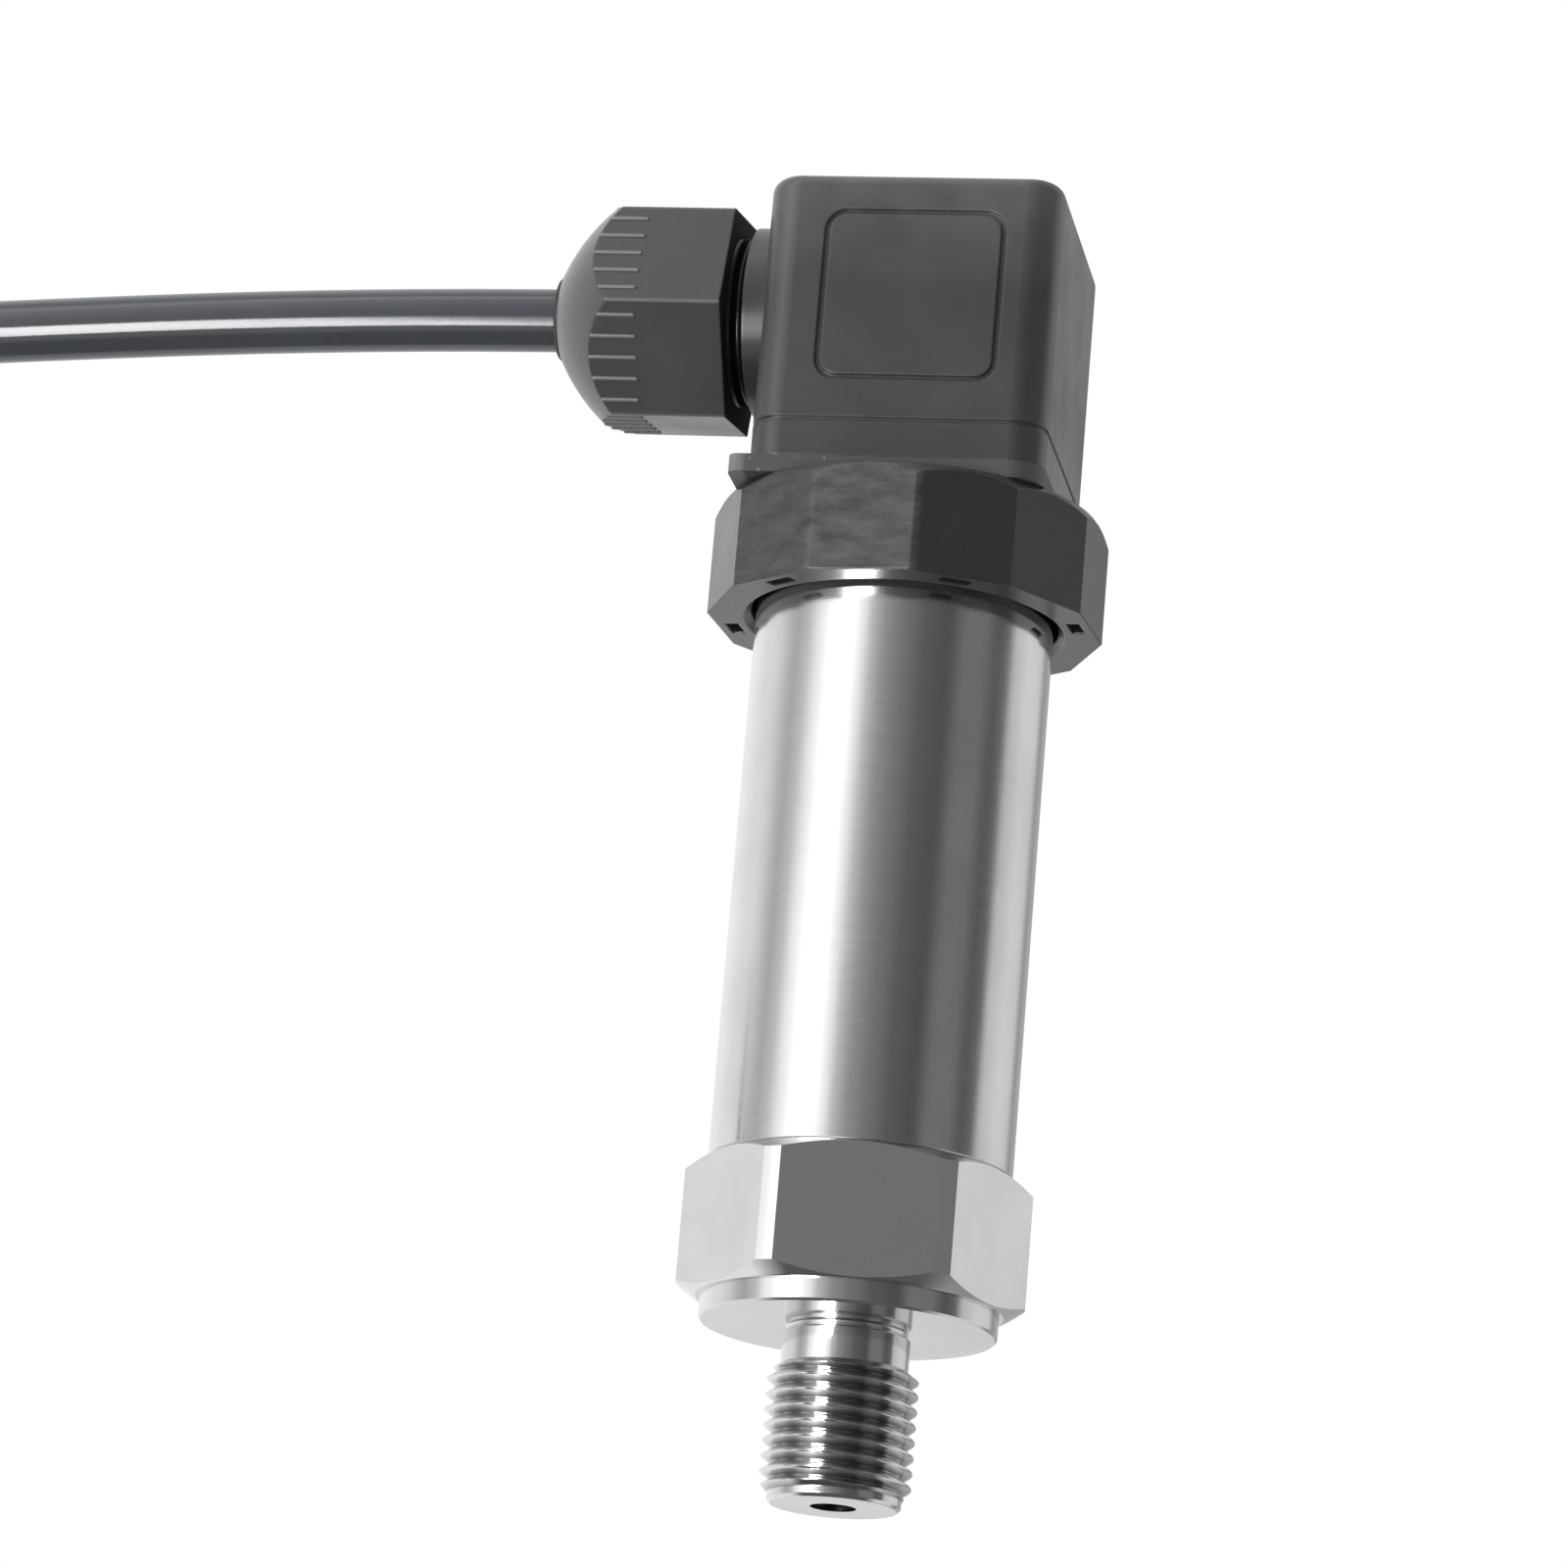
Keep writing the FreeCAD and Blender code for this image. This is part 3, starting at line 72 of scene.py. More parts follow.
# %% Camera
CAMERA_PLACE = Vector((93.48, -532.53, -103.01)) * MM
CAMERA_SIDE = math.atan2(CAMERA_PLACE.x, -CAMERA_PLACE.y)
CAMERA_YAW = math.radians(10.96)
CAMERA_PITCH = math.radians(15.634)
CAMERA_ROLL = math.radians(4.917)
CAMERA_LENS = 146.08
SENSOR_WIDTH = 36
CAMERA_CLIP = (0.01, 20)

camera = bpy.data.objects.new("camera", bpy.data.cameras.new("camera"))
bpy.context.scene.collection.objects.link(camera)
aim = Euler((math.radians(90) + CAMERA_PITCH, 0, CAMERA_YAW)).to_matrix()
turned_aim = aim @ Matrix.Rotation(CAMERA_ROLL, 3, "Z")
camera.matrix_world = Matrix.Translation(CAMERA_PLACE) @ turned_aim.to_4x4()
camera.data.lens = CAMERA_LENS
camera.data.sensor_width = SENSOR_WIDTH
camera.data.clip_start, camera.data.clip_end = CAMERA_CLIP
bpy.context.scene.camera = camera
print("camera:", CAMERA_LENS, "mm lens,", round(CAMERA_PLACE.length, 3), "m away")

# %% [markdown]
# ## The cable's route
#
# The cable leaves the gland, runs out almost level with a slight sag, and the rest of its
# metre is wound into a neat tied coil. It is one NURBS curve: its first control points are
# the route, in millimetres from the gland's axis to the coil, and a loop adds 24 points for
# each turn of the coil. The coil has an outer layer of three turns side by side and an inner
# layer below them. A turn steps sideways, or down to the inner layer, only in its last part,
# as a cable does when it is wound by hand. A spline of order 3 cuts inside its control
# points, so the control circle is larger by that much.

# %% Cable route and coil
CABLE_DIAMETER = 5.8 * MM
GLAND_HEIGHT = 92.0
TURN_SPACING = 5.9 * MM
POINTS_A_TURN = 24
CORNER_CUT = (3 + math.cos(2 * math.pi / POINTS_A_TURN)) / 4
ROUTE = (
    (-10.9, 0, GLAND_HEIGHT),
    (-35.2, 0, GLAND_HEIGHT),
    (-60.0, 0, 91.3),
    (-84.6, 0, 89.85),
    (-109.0, 0, 88.15),
)
COIL_TOP = 90
STEP_ASIDE = (0.8, 1)
STEP_BACK = (0.6, 0.8)
WHOLE_TURNS = 4
END_ANGLE = 300
END_LEAN = math.radians(30)
END_CLEARANCE = 0.3 * MM

coil_low, coil_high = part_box("cable_coil")
coil_middle = (coil_low + coil_high) / 2
outer_layer = (coil_high.x - coil_low.x) / 2 - TURN_SPACING / 2
inner_layer = outer_layer - TURN_SPACING
coil_inside = inner_layer - TURN_SPACING / 2
first_column = coil_low.y + TURN_SPACING / 2


def eased(share, start, end):
    """0 before start, 1 after end, and a smooth step between."""
    t = min(max((share - start) / (end - start), 0), 1)
    return t * t * (3 - 2 * t)


def round_the_coil(degrees, radius, column):
    angle = math.radians(degrees)
    return Vector(
        (
            coil_middle.x + radius * math.cos(angle),
            first_column + column * TURN_SPACING,
            coil_middle.z + radius * math.sin(angle),
        )
    )


def coil_point(turns):
    """The control point after so many turns from the coil's top."""
    whole, share = int(turns), turns - int(turns)
    radius, column = inner_layer, 1
    if whole < 2:
        radius, column = outer_layer, whole + eased(share, *STEP_ASIDE)
    elif whole == 2:
        radius, column = outer_layer - TURN_SPACING * eased(share, *STEP_ASIDE), 2
    elif whole == 3:
        column = 2 - eased(share, *STEP_BACK)
    return round_the_coil(COIL_TOP + 360 * turns, radius / CORNER_CUT, column)


# The cable's end leans into the coil's open middle, where the solid of its end starts.
end_turn = math.radians(END_ANGLE)
end_radial = Vector((math.cos(end_turn), 0, math.sin(end_turn)))
end_along = Vector((-math.sin(end_turn), 0, math.cos(end_turn)))
end_along = end_along * math.cos(END_LEAN) - end_radial * math.sin(END_LEAN)
end_room = coil_inside - END_CLEARANCE
end_reach = math.sqrt(end_room**2 - (CABLE_DIAMETER / 2 * math.sin(END_LEAN)) ** 2)
end_reach -= CABLE_DIAMETER / 2 * math.cos(END_LEAN)
end_start = round_the_coil(END_ANGLE, end_reach, 1)

# The last part of the inner layer spirals in to meet it.
SPIRAL_STEP = 12
SPIRAL_TURN = 60
LAST_RUN = 5.5 * MM
spiral_start = END_ANGLE - SPIRAL_TURN
full_turns = WHOLE_TURNS + (spiral_start - COIL_TOP) / 360
cable_points = [Vector(point) * MM for point in ROUTE]
cable_points += [
    coil_point(step / POINTS_A_TURN) for step in range(round(full_turns * POINTS_A_TURN) + 1)
]
slope = -math.tan(END_LEAN) * end_reach * math.radians(SPIRAL_TURN)
for degrees in range(SPIRAL_STEP, SPIRAL_TURN - SPIRAL_STEP + 1, SPIRAL_STEP):
    t = degrees / SPIRAL_TURN
    start_share = 2 * t**3 - 3 * t**2 + 1
    radius = start_share * inner_layer + (1 - start_share) * end_reach + (t**3 - t**2) * slope
    cable_points.append(round_the_coil(spiral_start + degrees, radius / CORNER_CUT, 1))
cable_points[-1] = end_start - end_along * LAST_RUN
cable_points.append(end_start)
all_turns = full_turns + SPIRAL_TURN / 360
print("cable:", len(cable_points), "control points,", round(all_turns, 2), "turns")

# %% [markdown]
# ## The cable itself
#
# A curve with a round bevel is the natural cable: the curve object keeps its own centreline. The
# order of the spline is set after its points are there, because a spline with two points can only
# be of order two.

# %% Cable curve


def nurbs_tube(name, points, radius):
    curve = bpy.data.curves.new(name, "CURVE")
    curve.dimensions = "3D"
    curve.bevel_depth = radius
    curve.bevel_resolution = 7
    curve.resolution_u = 5
    curve.use_fill_caps = True
    spline = curve.splines.new("NURBS")
    spline.points.add(len(points) - 1)
    for target, point in zip(spline.points, points):
        target.co = (*point, 1)
    spline.order_u = 3
    spline.use_endpoint_u = True
    tube = bpy.data.objects.new(name, curve)
    bpy.context.scene.collection.objects.link(tube)
    return tube


cable = nurbs_tube("signal_cable", cable_points, CABLE_DIAMETER / 2)
print("cable curve:", cable.name, "of", round(CABLE_DIAMETER / MM, 1), "mm")

# %% [markdown]
# ## Small mesh helpers
#
# The cable's end and its tie are small turned or moulded things. A rod is a closed cylinder
# between two points, with a small chamfer at its free end, and a plate is a bevelled box that
# is turned into place in its mesh, because a finished piece's object stays at the origin.

# %% Mesh helpers
ROD_SIDES = 32
SMALL_LIMIT = 40
ROUND_LIMIT = 50


def mesh_object(name, mesh_data):
    mesh = bpy.data.meshes.new(name)
    mesh_data.normal_update()
    mesh_data.to_mesh(mesh)
    mesh_data.free()
    piece = bpy.data.objects.new(name, mesh)
    bpy.context.scene.collection.objects.link(piece)
    return piece


def smooth(piece, angle=SMALL_LIMIT):
    """Smooth shading that keeps the edges sharper than the angle, in degrees."""
    piece.data.shade_smooth()
    piece.data.set_sharp_from_angle(angle=math.radians(angle))
    return piece


def add_rod(shape, start, along, length, radius, chamfer):
    """A round rod with a chamfer at its far end, added to the shape."""
    turn = along.to_track_quat("Z", "X").to_matrix()
    rings = []
    sections = ((0, radius), (length - chamfer, radius), (length, radius - chamfer))
    for height, ring_radius in sections:
        ring = []
        for step in range(ROD_SIDES):
            angle = 2 * math.pi * step / ROD_SIDES
            local = (ring_radius * math.cos(angle), ring_radius * math.sin(angle), height)
            ring.append(shape.verts.new(start + turn @ Vector(local)))
        rings.append(ring)
    for lower, upper in zip(rings, rings[1:]):
        for step in range(ROD_SIDES):
            after = (step + 1) % ROD_SIDES
            shape.faces.new((lower[step], lower[after], upper[after], upper[step]))
    shape.faces.new(list(reversed(rings[0])))
    shape.faces.new(rings[-1])


# %% [markdown]
# ## The cable's far end
#
# The sheath is stripped back and its three cores end in crimped ferrules. Each colour is a
# piece of its own, so that each can have its own finish, and all of them replace the one
# plain solid that stands for the end in the frame.

# %% Cable end
SHEATH_STUB = 6.0 * MM
CORE_LENGTH = 9.0 * MM
CORE_DIAMETER = 1.8 * MM
CORE_OFFSET = 1.14 * MM
CORE_INSET = 0.4 * MM
FERRULE_LENGTH = 6.0 * MM
FERRULE_DIAMETER = 1.2 * MM
COLLAR_LENGTH = 1.6 * MM
COLLAR_RADIUS = 0.52 * CORE_DIAMETER
SHEATH_CHAMFER = 0.25 * MM
COLLAR_CHAMFER = 0.15 * MM
WIRE_CHAMFER = 0.1 * MM
CORE_COLOURS = ("brown", "blue", "earth")

sheath_shape = bmesh.new()
add_rod(sheath_shape, end_start, end_along, SHEATH_STUB, CABLE_DIAMETER / 2, SHEATH_CHAMFER)
end_sheath = smooth(mesh_object("end_sheath", sheath_shape))
end_pieces = [end_sheath]
end_cores = []
ferrule_shape = bmesh.new()
end_across = end_along.cross(Vector((0, 1, 0)))
for index, colour in enumerate(CORE_COLOURS):
    angle = 2 * math.pi * index / len(CORE_COLOURS)
    aside = end_across * math.cos(angle) + Vector((0, 1, 0)) * math.sin(angle)
    foot = end_start + end_along * (SHEATH_STUB - CORE_INSET) + aside * CORE_OFFSET
    core_shape = bmesh.new()
    add_rod(core_shape, foot, end_along, CORE_LENGTH, CORE_DIAMETER / 2, WIRE_CHAMFER)
    core = smooth(mesh_object(f"end_core_{colour}", core_shape))
    end_cores.append(core)
    crimp = foot + end_along * CORE_LENGTH
    collar_foot = crimp - end_along * COLLAR_LENGTH / 2
    add_rod(ferrule_shape, collar_foot, end_along, COLLAR_LENGTH, COLLAR_RADIUS, COLLAR_CHAMFER)
    add_rod(ferrule_shape, crimp, end_along, FERRULE_LENGTH, FERRULE_DIAMETER / 2, WIRE_CHAMFER)
end_ferrules = smooth(mesh_object("end_ferrules", ferrule_shape))
end_pieces += end_cores + [end_ferrules]
print("cable end:", len(end_cores), "cores in ferrules")

# %% [markdown]
# ## The helical thread
#
# The frame's fitting has a plain cylinder where the thread is. Here the fitting is copied
# without its skin below the collar, and a fine turned skin takes that place. A Geometry Nodes
# tree then cuts the thread into the skin: a point's angle and height give its place in the
# pitch, a rounded triangle wave gives the depth there, and the smaller of that radius and the
# turned profile is kept, so the thread runs out by itself at both chamfers. The thread has a
# pitch of 19 turns to the inch and rounded crests and roots, as pipe threads do.

# %% Thread sizes
THREAD_PITCH = 25.4 / 19 * MM
THREAD_DEPTH = 0.856 * MM
THREAD_RADIUS = mounts["process_thread"]["dims"]["r_mm"] * MM
THREAD_SHARPNESS = 0.93
PORT_RADIUS = mounts["pressure_port"]["dims"]["r_mm"] * MM
CUT_RADIUS = 5.75 * MM
NECK_RADIUS = 5.1 * MM
NECK_LENGTH = 0.5 * MM
NECK_FILLET = 0.2 * MM
FILLET_MIDDLE = 0.3 * NECK_FILLET
RELIEF_RADIUS = 5.525 * MM
RELIEF_CHAMFER = 0.15 * MM
RELIEF_END = 3.4 * MM
THREAD_START = 4.15 * MM
TIP_RADIUS = 5.8 * MM
TIP_LENGTH = 0.9 * MM
TIP_CHAMFER = 0.3 * MM
ROWS_A_PITCH = 18
SKIN_SEGMENTS = 120

fitting_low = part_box("process_fitting")[0]
tip_height = fitting_low.z
thread_end = tip_height + TIP_LENGTH
print("thread:", round((THREAD_START + thread_end) / -THREAD_PITCH, 1), "turns")

# %% Turned skin below the collar
skin_profile = [
    (CUT_RADIUS, 0),
    (NECK_RADIUS + NECK_FILLET, 0),
    (NECK_RADIUS + FILLET_MIDDLE, -FILLET_MIDDLE),
    (NECK_RADIUS, -NECK_FILLET),
    (NECK_RADIUS, -NECK_LENGTH),
    (RELIEF_RADIUS - RELIEF_CHAMFER, -NECK_LENGTH),
    (RELIEF_RADIUS, -NECK_LENGTH - RELIEF_CHAMFER),
    (RELIEF_RADIUS, -RELIEF_END),
    (THREAD_RADIUS, -THREAD_START),
    (THREAD_RADIUS, thread_end + THREAD_RADIUS - TIP_RADIUS),
    (TIP_RADIUS, thread_end),
    (TIP_RADIUS, tip_height + TIP_CHAMFER),
    (TIP_RADIUS - TIP_CHAMFER, tip_height),
    (PORT_RADIUS, tip_height),
]


def close_rows(profile, spacing):
    """The profile with extra points, so that no two are further apart than the spacing."""
    rows = []
    for (radius, height), (next_radius, next_height) in zip(profile, profile[1:]):
        length = math.hypot(next_radius - radius, next_height - height)
        steps = max(1, math.ceil(length / spacing))
        for step in range(steps):
            share = step / steps
            row_radius = radius + (next_radius - radius) * share
            rows.append((row_radius, height + (next_height - height) * share))
    return rows + [profile[-1]]


def add_turned_skin(shape, rows, segments):
    """Faces between rings of vertices, one ring for each (radius, height) of the rows."""
    rings = []
    for radius, height in rows:
        ring = []
        for step in range(segments):
            angle = 2 * math.pi * step / segments
            place = (radius * math.cos(angle), radius * math.sin(angle), height)
            ring.append(shape.verts.new(place))
        rings.append(ring)
    for upper, lower in zip(rings, rings[1:]):
        for step in range(segments):
            after = (step + 1) % segments
            shape.faces.new((upper[after], upper[step], lower[step], lower[after]))


skin_shape = bmesh.new()
add_turned_skin(skin_shape, close_rows(skin_profile, THREAD_PITCH / ROWS_A_PITCH), SKIN_SEGMENTS)
thread_skin = mesh_object("thread_skin", skin_shape)
print("turned skin:", len(thread_skin.data.polygons), "faces")

# %% [markdown]
# Node trees are written with a small helper that adds a node, sets its options and either
# sets or links each of its inputs. It builds the Geometry Nodes and the materials alike.

# %% Node helper


def add(tree, kind, inputs=(), **settings):
    """A node with its settings made, and each input either set to a value or linked."""
    node = tree.nodes.new(kind)
    for name, setting in settings.items():
        setattr(node, name, setting)
    for name, content in dict(inputs).items():
        if isinstance(content, bpy.types.NodeSocket):
            tree.links.new(content, node.inputs[name])
        else:
            node.inputs[name].default_value = content
    return node


def maths(tree, operation, *contents):
    """A Math node's result, from values or sockets."""
    inputs = dict(enumerate(contents))
    return add(tree, "ShaderNodeMath", inputs, operation=operation).outputs[0]


def root_of_squares(tree, first, second):
    """How far a point lies from an axis, from its two places across that axis."""
    squares = [maths(tree, "MULTIPLY", side, side) for side in (first, second)]
    return maths(tree, "SQRT", maths(tree, "ADD", *squares))


def new_tree(name, sizes):
    """A Geometry Nodes tree that takes a mesh and named sizes and gives a mesh."""
    tree = bpy.data.node_groups.new(name, "GeometryNodeTree")
    tree.interface.new_socket("Geometry", in_out="INPUT", socket_type="NodeSocketGeometry")
    for size in sizes:
        tree.interface.new_socket(size, in_out="INPUT", socket_type="NodeSocketFloat")
    tree.interface.new_socket("Material", in_out="INPUT", socket_type="NodeSocketMaterial")
    tree.interface.new_socket("Geometry", in_out="OUTPUT", socket_type="NodeSocketGeometry")
    return tree, tree.nodes.new("NodeGroupInput"), tree.nodes.new("NodeGroupOutput")


def end_tree(tree, geometry, inputs, outputs):
    """The last two nodes of every tree: real meshes in the place of instances, and a material."""
    realized = add(tree, "GeometryNodeRealizeInstances", {"Geometry": geometry})
    finished = add(
        tree,
        "GeometryNodeSetMaterial",
        {"Geometry": realized.outputs[0], "Material": inputs.outputs["Material"]},
    )
    tree.links.new(finished.outputs[0], outputs.inputs["Geometry"])


def run_tree(piece, tree, sizes, material):
    """Run a tree on a piece and keep the result as its plain mesh."""
    modifier = piece.modifiers.new(tree.name, "NODES")
    modifier.node_group = tree
    for item in tree.interface.items_tree:
        if item.in_out == "INPUT" and item.name in sizes:
            modifier[item.identifier] = float(sizes[item.name])
        if item.in_out == "INPUT" and item.name == "Material":
            modifier[item.identifier] = material
    depsgraph = bpy.context.evaluated_depsgraph_get()
    result = bpy.data.meshes.new_from_object(piece.evaluated_get(depsgraph))
    piece.modifiers.clear()
    piece.data = result
    print(tree.name + ":", len(result.polygons), "faces")
    return piece


# %% [markdown]
# ## Finishes
#
# Every finish is a node material. Patterns read Object coordinates, in metres, so a grain of
# a quarter of a millimetre has a scale of 4000. Metals get a fine turned or ground grain that
# follows the axis they were turned about, and plastics get the spark-eroded grain of their
# mould with soft patches of wear in their roughness.

# %% Finish helpers
NOISE_SPAN = (0.3, 0.7)
finishes = {}


def new_finish(name, colour, metallic, roughness):
    """A plain node material, kept under the name of the slot that it is for."""
    material = bpy.data.materials.new(name)
    finishes[name] = material
    material.use_nodes = True
    shader = material.node_tree.nodes["Principled BSDF"]
    shader.inputs["Base Color"].default_value = (*colour, 1)
    shader.inputs["Metallic"].default_value = metallic
    shader.inputs["Roughness"].default_value = roughness
    return material


def shader_of(material):
    return material.node_tree.nodes["Principled BSDF"]


def stretched(tree, stretch):
    """Object coordinates, stretched by a factor along each axis."""
    place = add(tree, "ShaderNodeTexCoord").outputs["Object"]
    mapping = add(tree, "ShaderNodeMapping", {"Vector": place, "Scale": stretch})
    return mapping.outputs[0]


def noise(tree, scale, stretch=(1, 1, 1), detail=2.0, roughness=0.5):
    place = stretched(tree, stretch)
    inputs = {"Vector": place, "Scale": scale, "Detail": detail, "Roughness": roughness}
    return add(tree, "ShaderNodeTexNoise", inputs).outputs[0]


def between(tree, factor, low, high, start=0.0, end=1.0):
    """The factor's span from start to end, spread over low to high."""
    inputs = {"Value": factor, "From Min": start, "From Max": end, "To Min": low, "To Max": high}
    return add(tree, "ShaderNodeMapRange", inputs).outputs[0]


def mixed(tree, factor, first, second):
    """A colour mix of two colours or colour sockets."""
    node = add(tree, "ShaderNodeMix", {"Factor": factor}, data_type="RGBA")
    for socket, colour in ((node.inputs[6], first), (node.inputs[7], second)):
        if isinstance(colour, bpy.types.NodeSocket):
            tree.links.new(colour, socket)
        else:
            socket.default_value = (*colour, 1)
    return node.outputs[2]


def bump(material, height, distance, strength=1.0):
    tree = material.node_tree
    inputs = {"Height": height, "Distance": distance, "Strength": strength}
    lastly = shader_of(material).inputs["Normal"]
    if lastly.is_linked:
        inputs["Normal"] = lastly.links[0].from_socket
    tree.links.new(add(tree, "ShaderNodeBump", inputs).outputs[0], lastly)


# %% Metal finishes
METAL_PATCHES = 140
GRAIN_SWING = 0.035
PATCH_SWING = (-0.03, 0.05)
DULL_SHARE = 0.86


def turned_metal(name, colour, roughness, anisotropic, grain, stretch, depth):
    """Turned or ground metal, with its grain stretched round the axis it was turned about."""
    material = new_finish(name, colour, 1.0, roughness)
    tree, shader = material.node_tree, shader_of(material)
    lines = noise(tree, 1 / grain, stretch, detail=3.0)
    patches = noise(tree, METAL_PATCHES, detail=3.0)
    shader.inputs["Anisotropic"].default_value = anisotropic
    shiny, dull = (roughness + swing for swing in PATCH_SWING)
    rough = maths(
        tree,
        "ADD",
        between(tree, lines, -GRAIN_SWING, GRAIN_SWING, *NOISE_SPAN),
        between(tree, patches, shiny, dull, *NOISE_SPAN),
    )
    tree.links.new(rough, shader.inputs["Roughness"])
    darker = tuple(channel * DULL_SHARE for channel in colour)
    tint = mixed(tree, between(tree, patches, 0, 0.6, 0.35, 0.75), colour, darker)
    tree.links.new(tint, shader.inputs["Base Color"])
    bump(material, lines, depth, 0.6)
    return material


def flat_metal(name, colour, roughness, grain):
    """Plated or pressed metal with a fine even grain."""
    return turned_metal(name, colour, roughness, 0.0, grain, (1, 1, 1), 0.002 * MM)


STEEL = (0.685, 0.688, 0.69)
ROUND_Z = (0.06, 0.06, 1)
fitting_steel = turned_metal("fitting_steel", STEEL, 0.09, 0.1, 0.12 * MM, ROUND_Z, 0.002 * MM)
turned_metal("barrel_steel", STEEL, 0.15, 0.35, 0.12 * MM, ROUND_Z, 0.006 * MM)
flat_metal("screw_steel", (0.66, 0.65, 0.63), 0.25, 0.2 * MM)
flat_metal("contact_brass", (0.71, 0.66, 0.52), 0.3, 0.25 * MM)
print("metals:", ", ".join(finishes))

# %% Plastic and rubber finishes
PLASTIC_PATCHES = 120
WORN_SHARE = 1.25
SMALL_EDGE = 0.25 * MM


def moulded(name, colour, roughness, grain=0.22 * MM, depth=0.006 * MM, patchy=0.06):
    """Moulded plastic or rubber: an eroded mould's grain, and patches in its gloss."""
    material = new_finish(name, colour, 0.0, roughness)
    tree, shader = material.node_tree, shader_of(material)
    patches = noise(tree, PLASTIC_PATCHES, detail=4.0)
    fine = noise(tree, 1 / grain, detail=2.0)
    rough = between(tree, patches, roughness - patchy, roughness + patchy, *NOISE_SPAN)
    tree.links.new(rough, shader.inputs["Roughness"])
    worn = tuple(channel * WORN_SHARE for channel in colour)
    tint = mixed(tree, between(tree, patches, 0, 0.5, 0.4, 0.8), colour, worn)
    tree.links.new(tint, shader.inputs["Base Color"])
    bump(material, fine, depth)
    return material


def rounded_edges(material, radius):
    """Edges that catch the light as if they had a small radius, under the grain."""
    tree = material.node_tree
    bevel = add(tree, "ShaderNodeBevel", {"Radius": radius}, samples=6)
    grain = shader_of(material).inputs["Normal"].links[0].from_node
    tree.links.new(bevel.outputs[0], grain.inputs["Normal"])


HOUSING_GREY = (0.052, 0.053, 0.056)
NUT_GREY = (0.058, 0.060, 0.066)
RING_BLACK = (0.040, 0.040, 0.041)
housing_plastic = moulded("housing_plastic", HOUSING_GREY, 0.30, 0.3 * MM, 0.004 * MM)
nut_plastic = moulded("nut_plastic", NUT_GREY, 0.28, 0.25 * MM, 0.003 * MM)
ring_plastic = moulded("ring_plastic", RING_BLACK, 0.26, 0.3 * MM, 0.004 * MM)
moulded("black_plastic", (0.035, 0.035, 0.037), 0.5)
moulded("washer_plastic", (0.09, 0.09, 0.095), 0.4)
moulded("chip_plastic", (0.03, 0.03, 0.032), 0.55, 0.15 * MM)
seal_rubber = moulded("seal_rubber", (0.022, 0.022, 0.024), 0.6, 0.18 * MM, 0.008 * MM)
moulded("ceramic", (0.84, 0.83, 0.79), 0.35, 0.12 * MM, 0.002 * MM, 0.03)
moulded("circuit_board", (0.02, 0.16, 0.06), 0.35, 0.5 * MM, 0.01 * MM)
moulded("flex_film", (0.42, 0.18, 0.03), 0.25, 0.6 * MM, 0.003 * MM)
moulded("lead_insulation", (0.55, 0.03, 0.025), 0.4)
moulded("brown_insulation", (0.11, 0.045, 0.02), 0.4)
moulded("blue_insulation", (0.02, 0.10, 0.38), 0.4)
moulded("earth_insulation", (0.30, 0.42, 0.03), 0.4)
moulded("cable_sheath", (0.070, 0.076, 0.086), 0.13, 0.6 * MM, 0.003 * MM, 0.02)
moulded("tie_plastic", (0.03, 0.03, 0.03), 0.38)
for material in (housing_plastic, nut_plastic, ring_plastic):
    rounded_edges(material, SMALL_EDGE)
print("finishes:", len(finishes))

# %% [markdown]
# ### Wear, painted light and painted shade by place
#
# Some plastics don't look the same all over. Part of this is wear, and part is painted light and
# painted shade. Object coordinates tell each point where it lies, so these colours stay with the
# part when the part moves. Each is a colour laid over the finish where all of its factors are 1.
# Most factors rise or fall over a thin edge, which is given in millimetres from a place on the
# part.

# %% Helpers for wear, painted light and painted shade


def facing(tree, degrees):
    """How far a point lies from the axis, toward an angle that is counted from the front."""
    angle = math.radians(degrees)
    toward = (math.sin(angle), -math.cos(angle), 0)
    inputs = {0: add(tree, "ShaderNodeTexCoord").outputs["Object"], 1: toward}
    return add(tree, "ShaderNodeVectorMath", inputs, operation="DOT_PRODUCT").outputs["Value"]


def tinted(material, colour, *factors):
    """Lays a colour over a finish where all the factors are 1."""
    tree, shader = material.node_tree, shader_of(material)
    factor, *others = factors
    for other in others:
        factor = maths(tree, "MULTIPLY", factor, other)
    under = shader.inputs["Base Color"].links[0].from_socket
    tree.links.new(mixed(tree, factor, under, colour), shader.inputs["Base Color"])


def duller(material, roughness, factor):
    """Raises a finish's roughness where the factor is 1."""
    tree, shader = material.node_tree, shader_of(material)
    under = shader.inputs["Roughness"].links[0].from_socket
    raised = maths(tree, "MULTIPLY", factor, roughness)
    tree.links.new(maths(tree, "MAXIMUM", under, raised), shader.inputs["Roughness"])


def span(name, axis):
    """The lowest and the highest coordinate of a node along an axis."""
    places = [corner[axis] for corner in nodes[name].bound_box]
    return min(places), max(places)


def coordinates(tree):
    """A point's own x, y and z."""
    place = add(tree, "ShaderNodeTexCoord").outputs["Object"]
    return add(tree, "ShaderNodeSeparateXYZ", {0: place}).outputs


def rising(tree, content, place, edge, most=1.0):
    """From 0 to the most, over an edge in millimetres from a place."""
    start, end = (place + offset * MM for offset in edge)
    return between(tree, content, 0.0, most, start, end)


def falling(tree, content, place, edge, least=0.0):
    """From 1 to the least, over an edge in millimetres from a place."""
    start, end = (place + offset * MM for offset in edge)
    return between(tree, content, 1.0, least, start, end)
